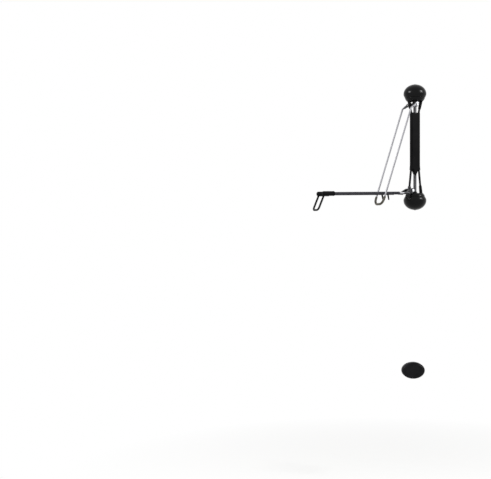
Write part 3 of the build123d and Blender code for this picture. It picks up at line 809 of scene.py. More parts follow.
FINISHES: tuple[Finish, ...] = (
    Steel(
        Slot.PLATED,
        dark=(0.36, 0.37, 0.39),
        light=(0.54, 0.55, 0.57),
        rough=(0.28, 0.42),
        scuff_level=0.74,
        scuff_tint=(0.34, 0.34, 0.345),
        edge_tint=(0.66, 0.66, 0.67),
    ),
    Moulding(
        Slot.NYLON,
        dark=(0.7, 0.7, 0.67),
        light=(0.8, 0.8, 0.77),
        rough=(0.42, 0.55),
        scuff_level=0.74,
        scuff_tint=(0.55, 0.54, 0.5),
        edge_tint=(0.82, 0.82, 0.79),
        cells=700.0,
        relief=0.2,
    ),
    Moulding(
        Slot.GLOSS,
        dark=(0.0015, 0.0015, 0.0018),
        light=(0.0042, 0.0042, 0.0046),
        rough=(0.2, 0.27),
        specular=0.12,
        dust=0.02,
        scuff_level=0.76,
        scuff_tint=(0.015, 0.015, 0.016),
        edge_tint=(0.022, 0.022, 0.023),
        cells=500.0,
        relief=0.03,
    ),
    Steel(
        Slot.GREY,
        dark=(0.06, 0.06, 0.064),
        light=(0.11, 0.11, 0.115),
        rough=(0.3, 0.45),
        scuff_level=0.7,
        scuff_tint=(0.16, 0.16, 0.17),
        edge_tint=(0.26, 0.26, 0.27),
    ),
    Steel(
        Slot.DARK,
        dark=(0.022, 0.022, 0.024),
        light=(0.05, 0.05, 0.053),
        rough=(0.3, 0.45),
        scuff_level=0.7,
        scuff_tint=(0.1, 0.1, 0.105),
        edge_tint=(0.17, 0.17, 0.175),
    ),
    Steel(
        Slot.PAINTED,
        dark=(0.005, 0.005, 0.0055),
        light=(0.011, 0.011, 0.012),
        rough=(0.36, 0.5),
        specular=0.06,
        dust=0.04,
        scuff_level=0.72,
        scuff_tint=(0.03, 0.03, 0.03),
        edge_tint=(0.07, 0.07, 0.072),
        metallic=0.0,
        relief=0.05,
    ),
    Moulding(
        Slot.MATTE,
        dark=(0.0026, 0.0026, 0.003),
        light=(0.0065, 0.0065, 0.007),
        rough=(0.42, 0.55),
        specular=0.035,
        dust=0.03,
        scuff_level=0.72,
        scuff_tint=(0.018, 0.018, 0.019),
        edge_tint=(0.03, 0.03, 0.031),
        cells=1100.0,
    ),
    Moulding(
        Slot.RUBBER,
        dark=(0.02, 0.02, 0.025),
        light=(0.05, 0.049, 0.058),
        rough=(0.6, 0.78),
        specular=0.1,
        dust=0.05,
        scuff_level=0.68,
        scuff_tint=(0.06, 0.06, 0.066),
        edge_tint=(0.085, 0.083, 0.09),
        cells=800.0,
        clouds=70.0,
        relief=0.4,
    ),
    Moulding(
        Slot.BLACK_RUBBER,
        dark=(0.0025, 0.0025, 0.003),
        light=(0.0085, 0.0085, 0.01),
        rough=(0.34, 0.46),
        specular=0.1,
        dust=0.03,
        scuff_level=0.72,
        scuff_tint=(0.018, 0.018, 0.02),
        edge_tint=(0.024, 0.024, 0.026),
        cells=700.0,
        clouds=40.0,
    ),
    Moulding(
        Slot.SMOKE_RUBBER,
        dark=(0.07, 0.065, 0.052),
        light=(0.13, 0.12, 0.1),
        rough=(0.5, 0.65),
        specular=0.2,
        dust=0.05,
        scuff_level=0.66,
        scuff_tint=(0.2, 0.19, 0.17),
        edge_tint=(0.2, 0.19, 0.165),
        cells=800.0,
        clouds=60.0,
    ),
    Steel(
        Slot.BRIGHT,
        dark=(0.2, 0.2, 0.213),
        light=(0.29, 0.29, 0.304),
        rough=(0.44, 0.54),
        scuff_level=0.76,
        scuff_tint=(0.2, 0.2, 0.2),
        edge_tint=(0.42, 0.42, 0.43),
        across=1200.0,
        relief=0.015,
    ),
)


def shown(name: str, data: bpy.types.ID) -> bpy.types.Object:
    """Put a new object into the scene.

    Args:
        name: of the object.
        data: its mesh, lamp or camera.

    Returns:
        The object, at the origin.
    """
    made = bpy.data.objects.new(name, data)
    bpy.context.scene.collection.objects.link(made)
    return made


class Palette:
    """Materials of the rack by slot, and the dressing of nodes and new pieces."""

    def __init__(self) -> None:
        """Build every material and give the frame's nodes theirs."""
        groups = Effects().build()
        self.materials = {finish.slot: finish.material(groups) for finish in FINISHES}
        for part in frame["record"]["subparts"]:
            mesh = frame["nodes"][part["node"]].data
            mesh.materials.clear()
            mesh.materials.append(self.materials[Slot(part["material_slot"])])

    def piece(
        self, name: str, skin: Skin, slot: Slot, body: Body, *nodes: str, sharp: float = 40.0
    ) -> str:
        """Make a mesh of a skin, dress it and set it on its body.

        Args:
            name: of the piece.
            skin: its shape.
            slot: its finish.
            body: body it moves with.
            nodes: nodes of the frame that it stands for.
            sharp: angle in degrees from which an edge is sharp.

        Returns:
            The piece's name.
        """
        mesh = bpy.data.meshes.new(name)
        faces = list(chain.from_iterable(block.tolist() for block in skin.faces))
        mesh.from_pydata((skin.vertices * MM).tolist(), [], faces)
        work = bmesh.new()
        work.from_mesh(mesh)
        bmesh.ops.remove_doubles(work, verts=work.verts, dist=WELD)
        work.to_mesh(mesh)
        work.free()
        mesh.validate()
        mesh.shade_smooth()
        mesh.set_sharp_from_angle(angle=radians(sharp))
        mesh.materials.append(self.materials[slot])
        made = shown(name, mesh)
        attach(made, body.value)
        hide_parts(*nodes)
        return name


@dataclass(frozen=True)
class SocketScrew:
    """A round screw with a domed head and a hexagon socket.

    Args:
        head: radius of the head.
        height: of the head.
        reach: length of the shank.
        shank: radius of the shank.
        point: radius of the shank's end, as a share of the shank's.
        chamfer: length of that end.
        seat: radius of the head's seat, as a share of the head's.
        dome: how far the head draws in to its top, as a share of its radius.
        dome_start: angle in radians at which the dome starts.
        dome_rows: points along the dome.
        socket: radius of the socket, as a share of the head's.
        mouth: width of the socket's mouth against the socket.
        mouth_depth: of that mouth.
        floor: height of the socket's floor, as a share of the head's.
        floor_width: of the socket's floor against the socket.
    """

    head: float
    height: float
    reach: float
    shank: float = 2.0
    point: float = 0.7
    chamfer: float = 0.8
    seat: float = 0.94
    dome: float = 0.35
    dome_start: float = 0.3
    dome_rows: int = 8
    socket: float = 0.5
    mouth: float = 1.2
    mouth_depth: float = 0.1
    floor: float = 0.3
    floor_width: float = 0.97

    def skin(self, origin: Array, axis: Array, across: Array) -> Skin:
        """Turn the screw about its axis.

        The dome is a part of an ellipse: the sine of an angle for the height, and the cosine for how
        far the radius draws in.

        Args:
            origin: middle of the head's seat.
            axis: direction in which the head stands up.
            across: direction square to the axis.

        Returns:
            The screw's skin.
        """
        hollow = self.socket * self.head
        turn = np.linspace(self.dome_start, pi / 2, self.dome_rows)
        top = zip(self.height * np.sin(turn), self.head - self.dome * self.head * (1 - np.cos(turn)))
        outside = [
            (-self.reach, self.shank * self.point),
            (-self.reach + self.chamfer, self.shank),
            (0.0, self.shank),
            (0.0, self.head * self.seat),
            *top,
            (self.height, hollow * self.mouth),
        ]
        inside = [
            (self.height - self.mouth_depth, hollow),
            (self.floor * self.height, hollow * self.floor_width),
        ]
        return lathe(hexed(outside, 0.0) + hexed(inside, 1.0), origin, axis, across)


@dataclass(frozen=True)
class HingeBolt:
    """A hexagon bolt with its lock nut, across the swinging frame.

    The rows of head and nut are height from the seat, radius and how much of a hexagon the row is.

    Args:
        hinge: reach and height of its axis.
        grip: half the stack between head and nut.
        play: between that stack and the head or the nut.
        shank: radius of the shank.
        point: radius of the shank's end.
        chamfer: length of that end.
        head: washer face, flats, corners cut back to a cone, and a dimple on top.
        nut_bore: radius of the nut's bore.
        nut_height: of the nut, which the shank fills.
        nut: seat, flats with both corners cut back, and a round crown.
        sides: points round the bolt.
    """

    hinge: tuple[float, float]
    grip: float
    play: float = 0.1
    shank: float = 4.0
    point: float = 3.1
    chamfer: float = 0.9
    head: tuple[Triple, ...] = (
        (0.0, 6.6, 0.0),
        (0.4, 6.6, 0.0),
        (0.4, 7.5, 1.0),
        (3.3, 7.5, 1.0),
        (3.7, 7.0, 0.55),
        (4.0, 6.1, 0.0),
        (4.0, 3.0, 0.0),
        (3.8, 2.6, 0.0),
    )
    nut_bore: float = 4.05
    nut_height: float = 6.5
    nut: tuple[Triple, ...] = (
        (0.0, 6.3, 0.0),
        (0.5, 7.2, 0.5),
        (0.9, 7.5, 1.0),
        (4.4, 7.5, 1.0),
        (4.9, 6.9, 0.4),
        (5.0, 6.0, 0.0),
        (5.9, 5.7, 0.0),
        (6.4, 5.2, 0.0),
    )
    sides: int = 96

    def seat(self, hand: Hand) -> Array:
        """Middle of the head's seat, on the right, or of the nut's."""
        return SWING.at(self.hinge[0], hand.value * (self.grip + self.play), self.hinge[1])

    def bolt_skin(self) -> Skin:
        """The bolt turned about its axis, with its head on the right.

        Returns:
            The bolt's skin.
        """
        tail = 2 * (self.grip + self.play) + self.nut_height
        shank = [(-tail, self.point), (self.chamfer - tail, self.shank), (0.0, self.shank)]
        rows = hexed(shank, 0.0) + list(self.head)
        return lathe(rows, self.seat(Hand.RIGHT), SWING.right, UP, self.sides)

    def nut_skin(self) -> Skin:
        """The nut turned about its axis, as a ring round its bore."""
        rows = hexed([(self.nut_height, self.nut_bore), (0.0, self.nut_bore)], 0.0) + list(self.nut)
        return lathe(rows, self.seat(Hand.LEFT), -SWING.right, UP, self.sides, loop=True)


@dataclass
class WallSide:
    """Caps over the wall brackets, and their screws.

    Args:
        end_height: height of the wall screw rows above and below the origin.
        half_width: of a cap.
        rise: from the screw row to the crown.
        skirt: from the screw row to the rim.
        rim_half_width: of a cap's rim.
        rim_round: radius of the rim's outer edge.
        wall: thickness of a cap.
        crown_bore: radius of the hole for the cap's screw.
        slot_half_angle: half the width in degrees of the slot for the bracket's neck.
        slot_top: height of that slot's upper edge.
        slot_side: angle in radians that a side of the slot spans.
        flank_rows: points of a cap's profile below its widest level.
        dome_rows: points above it.
        columns: points round a cap outside the slot.
        slot_columns: points across the slot.
        screw: of a cap.
    """

    end_height: float = 254.0
    half_width: float = 54.0
    rise: float = 46.0
    skirt: float = 17.0
    rim_half_width: float = 48.0
    rim_round: float = 0.9
    wall: float = 3.0
    crown_bore: float = 2.1
    slot_half_angle: float = 17.2
    slot_top: float = 262.4
    slot_side: float = 3e-4
    flank_rows: int = 12
    dome_rows: int = 34
    columns: int = 118
    slot_columns: int = 12
    screw: SocketScrew = SocketScrew(4.0, 1.6, reach=18.0)

    def dome_radius(self, height: float | Array, inset: float | Array) -> Array:
        """Radius of the dome, an ellipse drawn in by an inset, at a height above the widest level."""
        share = (height - self.end_height) / (self.rise - inset)
        return (self.half_width - inset) * np.sqrt(np.maximum(1.0 - share**2, 0.0))

    def cap_wall(self, inset: float) -> Array:
        """One face of a cap's wall, from the rim to the hole in the crown.

        Below the widest level the flank is a quarter sine from the rim to full width, and above it the
        dome is a quarter ellipse. The inner face is the same curve drawn in by the wall.

        Args:
            inset: how far the face is drawn in, 0 for the outer one.

        Returns:
            Heights and radii, of shape (count, 2).
        """
        share = np.linspace(0.0, 1.0, self.flank_rows)
        swell = (self.half_width - self.rim_half_width) * np.sin(share * pi / 2)
        rising = self.end_height - self.skirt * (1 - share)
        flank = np.stack([rising, self.rim_half_width - inset + swell], axis=-1)
        angle = np.linspace(0.0, pi / 2, self.dome_rows)[1:-1]
        heights = self.end_height + (self.rise - inset) * np.sin(angle)
        dome = np.stack([heights, self.dome_radius(heights, inset)], axis=-1)
        return np.vstack([flank, dome, [self.end_height + self.rise - inset, self.crown_bore]])

    def cap_shell(self, end: End) -> Skin:
        """A cap turned about the axle, with a slot at its back for the bracket's neck.

        A point is the axle's point at the profile's height, plus the radius times the turning
        direction, which starts at the wall. Within the slot's angle, whatever lies under the slot's
        upper edge is lifted to it, at the radius that its face of the cap's wall has there.

        Args:
            end: top or bottom of the rack.

        Returns:
            The cap's skin.
        """
        outer, inner = self.cap_wall(0.0), self.cap_wall(self.wall)
        rim, edge = self.end_height - self.skirt, self.rim_round
        lip = arc((rim + edge, self.rim_half_width - edge), edge, 180.0, 90.0, steps=4)[:-1]
        profile = np.vstack([lip, outer[1:], inner[::-1]])
        insets = np.r_[np.zeros(len(profile) - len(inner)), np.full(len(inner), self.wall)][:, None]
        half = radians(self.slot_half_angle)
        closed = np.linspace(half, 2 * pi - half, self.columns)
        inside = half - self.slot_side
        angle = np.r_[closed, np.linspace(-inside, inside, self.slot_columns)]
        cut = (np.arange(len(angle)) >= len(closed)) & (profile[:, :1] < self.slot_top)
        heights = np.where(cut, self.slot_top, profile[:, :1])
        radii = np.where(cut, self.dome_radius(self.slot_top, insets), profile[:, 1:])
        axis = end.value * UP
        around = turning(angle, TO_WALL, np.cross(axis, TO_WALL))
        points = SWING.origin + heights[:, :, None] * axis + radii[:, :, None] * around
        return grid_skin(points, loop=True)

    def cap_screw(self, end: End) -> Skin:
        """The screw in a cap's crown."""
        axis = end.value * UP
        return self.screw.skin(SWING.origin + (self.end_height + self.rise) * axis, axis, SWING.out)

    def build(self, palette: Palette) -> Iterator[str]:
        """Make the caps and the cap screws, each on the wall.

        Args:
            palette: that dresses them.

        Returns:
            The name of each piece as it is made.
        """
        for end in End:
            name = f"{end.name.lower()}_cap"
            yield palette.piece(f"{name}_shell", self.cap_shell(end), Slot.GLOSS, Body.WALL, name)
        screws = joined([self.cap_screw(end) for end in End])
        yield palette.piece("cap_screw_heads", screws, Slot.PLATED, Body.WALL, "cap_screws")


@dataclass
class SwingFrame:
    """Axle frame: yokes, rails with their ferrules, body screws, hinge bolts and nuts.

    Args:
        yoke_outer: height of a yoke's outer face.
        yoke_inner: height of a yoke's inner face.
        yoke_rim: radius at the outer face.
        yoke_face: radius at the inner face.
        flank_half: half the height of a yoke's bulging flank.
        flank_bulge: of that flank.
        flank_lean: angle in degrees by which the edges beside it stop short of upright.
        flank_rows: points along it.
        edge_round: radius of the outer face's edge and of the collar's end.
        lip_round: radius of the edges of the rim round the dish.
        collar_radius: of the collar round the axle.
        collar_height: of that collar.
        dish_depth: of the hollow in a yoke's inner face.
        dish_lip: width of the rim round that hollow.
        dish_round: radius of that hollow's corners.
        dust_lip: outer radius, inner radius and height of the ring that stands up inside the cap.
        bore: radius of the axle's bore.
        rail_radius: of a rail.
        rail_reach: of a rail along the body.
        rail_end: reach and height of a rail's end.
        rail_bends: heights of the two bends.
        rail_bend_radius: of those bends.
        rail_foot: height where the front rail enters the hinge block.
        ferrule_radius: at the rail's end, inside the yoke.
        ferrule_start: from there to where the ferrule begins.
        ferrule_length: from there to where it ends.
        ferrule_taper: in degrees.
        ferrule_round: radius of its end edge.
        ferrule_rows: points along it.
        screw: of the body.
        screw_reach: of the body screws from the axle.
        screw_levels: heights of the body screws.
        screw_seat: right of the axle, where the heads sit in the left half.
        lower_bolt: that the lower arm folds on.
        upper_bolt: that the stirrup folds on.
    """

    yoke_outer: float = 236.0
    yoke_inner: float = 220.5
    yoke_rim: float = 47.0
    yoke_face: float = 40.0
    flank_half: float = 6.2
    flank_bulge: float = 1.0
    flank_lean: float = 10.0
    flank_rows: int = 11
    edge_round: float = 0.8
    lip_round: float = 1.2
    collar_radius: float = 11.0
    collar_height: float = 8.0
    dish_depth: float = 6.0
    dish_lip: float = 3.2
    dish_round: float = 2.0
    dust_lip: Triple = (43.5, 41.0, 2.8)
    bore: float = 7.55
    rail_radius: float = 5.0
    rail_reach: float = 19.6
    rail_end: tuple[float, float] = (34.5, 226.5)
    rail_bends: tuple[float, float] = (160.0, -86.0)
    rail_bend_radius: float = 60.0
    rail_foot: float = -198.0
    ferrule_radius: float = 8.2
    ferrule_start: float = 5.4
    ferrule_length: float = 44.0
    ferrule_taper: float = 1.8
    ferrule_round: float = 1.0
    ferrule_rows: int = 8
    screw: SocketScrew = SocketScrew(3.6, 2.5, reach=14.2)
    screw_reach: float = 11.5
    screw_levels: tuple[float, float] = (139.0, -80.0)
    screw_seat: float = -7.4
    lower_bolt: HingeBolt = HingeBolt(LOWER_HINGE, grip=30.6)
    upper_bolt: HingeBolt = HingeBolt(UPPER_HINGE, grip=42.4)

    def yoke(self, end: End) -> Skin:
        """A yoke turned about the axle: a bulging flank, and a dished face round a collar.

        The flank's radius leans evenly from the inner face to the outer one, plus a bulge that falls
        off with the square of the distance from its middle. The corners are arcs.

        Args:
            end: top or bottom of the rack.

        Returns:
            The yoke's skin.
        """
        edge, lip, dish = self.edge_round, self.lip_round, self.dish_round
        before, after = 90.0 + self.flank_lean, 90.0 - self.flank_lean
        collar_end = self.yoke_inner - self.collar_height
        floor, rim = self.yoke_inner + self.dish_depth, self.yoke_face - self.dish_lip
        share = np.linspace(-1.0, 1.0, self.flank_rows + 2)[1:-1]
        mean, lean = (self.yoke_rim + self.yoke_face) / 2, (self.yoke_rim - self.yoke_face) / 2
        levels = (self.yoke_outer + self.yoke_inner) / 2 + self.flank_half * share
        ring, inside, rise = self.dust_lip
        crown = self.yoke_outer + rise
        profile = [
            (self.yoke_outer, self.bore),
            (collar_end, self.bore),
            *arc((collar_end + edge, self.collar_radius - edge), edge, 180.0, 90.0, steps=4),
            *arc((floor - dish, self.collar_radius + dish), dish, 270.0, 360.0, steps=5),
            *arc((floor - dish, rim - dish), dish, 0.0, 90.0, steps=5),
            *arc((self.yoke_inner + lip, rim + lip), lip, 270.0, 180.0, steps=4),
            *arc((self.yoke_inner + lip, self.yoke_face - lip), lip, 180.0, before, steps=4),
            *zip(levels, mean + lean * share + self.flank_bulge * (1 - share**2)),
            *arc((self.yoke_outer - edge, self.yoke_rim - edge), edge, after, 0.0, steps=4),
            (self.yoke_outer, ring),
            (crown, ring),
            (crown, inside),
            (self.yoke_outer, inside),
        ]
        return lathe(profile, SWING.origin, end.value * UP, SWING.out, sides=128, loop=True)

    def rail_skin(self, rail: Rail) -> Skin:
        """A rail: a bar along the body that spreads to both yokes, or in front to the hinge block.

        Args:
            rail: front or rear.

        Returns:
            The rail's skin.
        """
        end_reach, end_level = self.rail_end
        top, bottom = self.rail_bends
        fall = (end_reach - self.rail_reach) / (end_level + bottom)
        foot = self.rail_foot if rail is Rail.FRONT else -end_level
        corners = (
            (end_reach, end_level),
            (self.rail_reach, top),
            (self.rail_reach, bottom),
            (self.rail_reach + fall * (bottom - foot), foot),
        )
        points = [SWING.at(rail.value * reach, 0.0, level) for reach, level in corners]
        path = bent_path(points, self.rail_bend_radius, spacing=4.0)
        return tube(path, SWING.right, self.rail_radius, BAR_EDGE)

    def ferrule(self, rail: Rail, end: End) -> Skin:
        """A sleeve on a rail, turned about it: an even taper, cut square at the yoke and round below.

        Args:
            rail: that carries it.
            end: of that rail.

        Returns:
            The ferrule's skin.
        """
        reach, level = self.rail_end
        bend = self.rail_bends[0] if end is End.TOP else self.rail_bends[1]
        root = SWING.at(rail.value * reach, 0.0, end.value * level)
        axis = SWING.at(rail.value * self.rail_reach, 0.0, bend) - root
        slope = tan(radians(self.ferrule_taper))
        start, tip, edge = self.ferrule_start, self.ferrule_length, self.ferrule_round
        bore = self.rail_radius + PRESS_GAP
        along = np.linspace(start, tip - edge, self.ferrule_rows)
        profile = [
            (tip, bore),
            (start, bore),
            *zip(along, self.ferrule_radius - slope * along),
            *arc((tip - edge, self.ferrule_radius - slope * tip - edge), edge, 90.0, 0.0, steps=5),
        ]
        return lathe(profile, root, axis, SWING.right, loop=True)

    def body_screw(self, rail: Rail, level: float) -> Skin:
        """A body screw beside a rail, with its head on the left."""
        seat = SWING.at(rail.value * self.screw_reach, self.screw_seat, level)
        return self.screw.skin(seat, -SWING.right, UP)

    def build(self, palette: Palette) -> Iterator[str]:
        """Make every new piece of the swinging frame.

        Args:
            palette: that dresses them.

        Returns:
            The name of each piece as it is made.
        """
        for end in End:
            name = f"{end.name.lower()}_yoke"
            yield palette.piece(f"{name}_cup", self.yoke(end), Slot.GLOSS, Body.SWING, name)
        for rail in Rail:
            name = f"{rail.name.lower()}_rail"
            yield palette.piece(f"{name}_bar", self.rail_skin(rail), Slot.PAINTED, Body.SWING, name)
        sleeved = ((Rail.FRONT, End.TOP), (Rail.REAR, End.TOP), (Rail.REAR, End.BOTTOM))
        collars = joined([self.ferrule(rail, end) for rail, end in sleeved])
        yield palette.piece("rail_collars", collars, Slot.GLOSS, Body.SWING, "rail_ferrules")
        screws = joined([self.body_screw(rail, level) for rail in Rail for level in self.screw_levels])
        yield palette.piece("body_screw_heads", screws, Slot.PLATED, Body.SWING, "body_screws")
        for place, pair in (("lower", self.lower_bolt), ("upper", self.upper_bolt)):
            bolt, nut = f"{place}_hinge_bolt", f"{place}_hinge_nut"
            yield palette.piece(f"{bolt}_hex", pair.bolt_skin(), Slot.PLATED, Body.SWING, bolt)
            yield palette.piece(f"{nut}_lock", pair.nut_skin(), Slot.PLATED, Body.SWING, nut)


@dataclass
class LowerArm:
    """Sleeves, guide pegs, end blocks and the outer cradle of the arm that folds up.

    Args:
        side: from the middle plane to a rod.
        drop: rods below the hinge bolt.
        rod_radius: of a rod.
        sleeve: start, end and radius of a sleeve.
        sleeve_bead: how far its beads stand out.
        sleeve_round: radius of its rolled ends.
        peg_reach: of a guide peg.
        peg_radii: at its root and its tip.
        peg_start: from the rod's middle to the peg's root.
        peg_length: down from the rod.
        peg_lean: of the tip towards the frame.
        peg_round: radius of its end edges.
        block: start, end and radius of an end block.
        block_heel: radius of its inner edge.
        block_nose: radius of its outer edge.
        block_rows: points along it between those edges.
        grooves: from its start to each groove.
        groove_depth: of a groove.
        groove_width: from a groove's middle to where it is about a third as deep.
        cradle_radius: of the cradle's bar.
        cradle_root: reach of its legs.
        cradle_outset: of its foot beyond the roots.
        cradle_fall: of its foot below the rods.
        cradle_bend: radius of its bends.
    """

    side: float = 26.0
    drop: float = 12.0
    rod_radius: float = 5.0
    sleeve: Triple = (72.0, 420.0, 7.0)
    sleeve_bead: float = 0.15
    sleeve_round: float = 1.3
    peg_reach: float = 137.0
    peg_radii: tuple[float, float] = (4.2, 3.2)
    peg_start: float = 5.3
    peg_length: float = 32.0
    peg_lean: float = 6.0
    peg_round: float = 2.4
    block: Triple = (420.0, 482.0, 11.0)
    block_heel: float = 3.0
    block_nose: float = 7.0
    block_rows: int = 88
    grooves: Triple = (12.0, 18.0, 24.0)
    groove_depth: float = 0.7
    groove_width: float = 1.1
    cradle_radius: float = 4.5
    cradle_root: float = 470.0
    cradle_outset: float = 34.0
    cradle_fall: float = 74.0
    cradle_bend: float = 14.0

    def on_rod(self, reach: float, hand: Hand, below: float = 0.0) -> Array:
        """Point on a rod's axis, or straight below it."""
        return ARM.at(reach, hand.value * self.side, -self.drop - below)

    def sleeve_skin(self, hand: Hand) -> Skin:
        """A rubber sleeve on a rod: a pipe with a bead near each rolled end.

        Args:
            hand: side of the arm.

        Returns:
            The sleeve's skin.
        """
        start, end, radius = self.sleeve
        path = straight(self.on_rod(start, hand), self.on_rod(end, hand), spacing=6.0)
        outside, bore = radius - self.sleeve_bead, self.rod_radius + PRESS_GAP
        return tube(path, ARM.right, outside, self.sleeve_round, bore, bead=self.sleeve_bead, sides=40)

    def block_skin(self, hand: Hand) -> Skin:
        """An end block turned about its rod: round heel and nose, and three shallow grooves.

        Between heel and nose the radius is the block's less a bell curve at each groove.

        Args:
            hand: side of the arm.

        Returns:
            The block's skin.
        """
        start, end, radius = self.block
        heel, nose, length = self.block_heel, self.block_nose, end - start
        along = np.linspace(heel, length - nose, self.block_rows + 2)[1:-1]
        from_groove = (along - np.array(self.grooves)[:, None]) / self.groove_width
        depth = self.groove_depth * np.exp(-(from_groove**2)).sum(axis=0)
        profile = [
            *arc((heel, radius - heel), heel, 180.0, 90.0, steps=7),
            *zip(along, radius - depth),
            *arc((length - nose, radius - nose), nose, 90.0, 0.0, steps=12),
        ]
        return lathe(profile, self.on_rod(start, hand), ARM.out, ARM.right, sides=64)

    def peg_skin(self, hand: Hand) -> Skin:
        """A guide peg: a bar that tapers evenly to a round tip.

        Args:
            hand: side of the arm.

        Returns:
            The peg's skin.
        """
        root = self.on_rod(self.peg_reach, hand)
        tip = self.on_rod(self.peg_reach - self.peg_lean, hand, self.peg_length)
        path = straight(root + self.peg_start * unit(tip - root), tip, spacing=2.0)
        thick, thin = self.peg_radii
        return tube(path, ARM.right, thick, self.peg_round, tip=thin, sides=28)

    def cradle_skin(self) -> Skin:
        """The cradle's bar, down from one block, across at the foot and up into the other.

        Returns:
            The bar's skin.
        """
        foot = self.cradle_root + self.cradle_outset
        corners = [
            self.on_rod(self.cradle_root, Hand.RIGHT),
            self.on_rod(foot, Hand.RIGHT, self.cradle_fall),
            self.on_rod(foot, Hand.LEFT, self.cradle_fall),
            self.on_rod(self.cradle_root, Hand.LEFT),
        ]
        normal = np.cross(corners[1] - corners[0], ARM.right)
        path = bent_path(corners, self.cradle_bend, spacing=3.0)
        return tube(path, normal, self.cradle_radius, BAR_EDGE)

    def build(self, palette: Palette) -> Iterator[str]:
        """Make every new piece of the lower arm.

        Args:
            palette: that dresses them.

        Returns:
            The name of each piece as it is made.
        """
        for hand in Hand:
            name = f"arm_sleeve_{hand.name.lower()}"
            yield palette.piece(f"{name}_rubber", self.sleeve_skin(hand), Slot.RUBBER, Body.ARM, name)
            name = f"end_block_{hand.name.lower()}"
            yield palette.piece(f"{name}_grip", self.block_skin(hand), Slot.MATTE, Body.ARM, name)
        pegs = joined([self.peg_skin(hand) for hand in Hand])
        yield palette.piece("guide_peg_pair", pegs, Slot.PAINTED, Body.ARM, "guide_pegs")
        yield palette.piece("cradle_bow", self.cradle_skin(), Slot.PAINTED, Body.ARM, "cradle_bar")


@dataclass
class Stirrup:
    """Bent wire legs of the stirrup and the rubber bow that joins them.

    Args:
        side: from the middle plane to a leg.
        crank: reach and height of the bend at the top of a leg.
        foot: reach and height of the bow's lowest corner line.
        radius: of a leg.
        wire_start: from the bolt to the leg's end in its knuckle.
        crank_bend: radius of the upper bend.
        bow_radius: of the bow.
        bow_rise: up each leg from the foot.
        bow_bend: radius of the bow's corners.
        bow_bead: how far its beads stand out.
        bow_round: radius of the edges of its mouths.
        socket_depth: of a leg in the bow.
    """

    side: float = 37.8
    crank: tuple[float, float] = (45.0, 184.0)
    foot: tuple[float, float] = (201.0, -275.0)
    radius: float = 4.0
    wire_start: float = 12.0
    crank_bend: float = 12.0
    bow_radius: float = 5.6
    bow_rise: float = 38.0
    bow_bend: float = 28.0
    bow_bead: float = 0.1
    bow_round: float = 1.4
    socket_depth: float = 10.0

    def on_leg(
        self, start: tuple[float, float], distance: float, end: tuple[float, float], hand: Hand
    ) -> Array:
        """Point on one side's leg, at a distance from a run's start (reach, height) towards its end."""
        reach, level = start + distance * unit(np.subtract(end, start))
        return SWING.at(reach, hand.value * self.side, level)

    def leg_skin(self, hand: Hand) -> Skin:
        """A leg: a bar out of its knuckle, round the upper bend and down into the bow.

        Args:
            hand: side of the stirrup.

        Returns:
            The leg's skin.
        """
        corners = [
            self.on_leg(UPPER_HINGE, self.wire_start, self.crank, hand),
            self.on_leg(self.crank, 0.0, self.foot, hand),
            self.on_leg(self.foot, self.bow_rise - self.socket_depth, self.crank, hand),
        ]
        path = bent_path(corners, self.crank_bend, spacing=5.0)
        return tube(path, SWING.right, self.radius, BAR_EDGE)

    def bow_skin(self) -> Skin:
        """The bow: a thicker bar across from leg to leg, with a bead near each mouth.

        Returns:
            The bow's skin.
        """
        turns = (
            (self.bow_rise, Hand.RIGHT),
            (0.0, Hand.RIGHT),
            (0.0, Hand.LEFT),
            (self.bow_rise, Hand.LEFT),
        )
        corners = [self.on_leg(self.foot, rise, self.crank, hand) for rise, hand in turns]
        path = bent_path(corners, self.bow_bend, spacing=3.0)
        normal = np.cross(corners[1] - corners[0], SWING.right)
        return tube(path, normal, self.bow_radius - self.bow_bead, self.bow_round, bead=self.bow_bead)

    def build(self, palette: Palette) -> Iterator[str]:
        """Make every new piece of the stirrup.

        Args:
            palette: that dresses them.

        Returns:
            The name of each piece as it is made.
        """
        for hand in Hand:
            name = f"stirrup_leg_{hand.name.lower()}"
            yield palette.piece(f"{name}_wire", self.leg_skin(hand), Slot.BRIGHT, Body.STIRRUP, name)
        bow = "stirrup_bow"
        yield palette.piece(f"{bow}_sleeve", self.bow_skin(), Slot.SMOKE_RUBBER, Body.STIRRUP, bow)


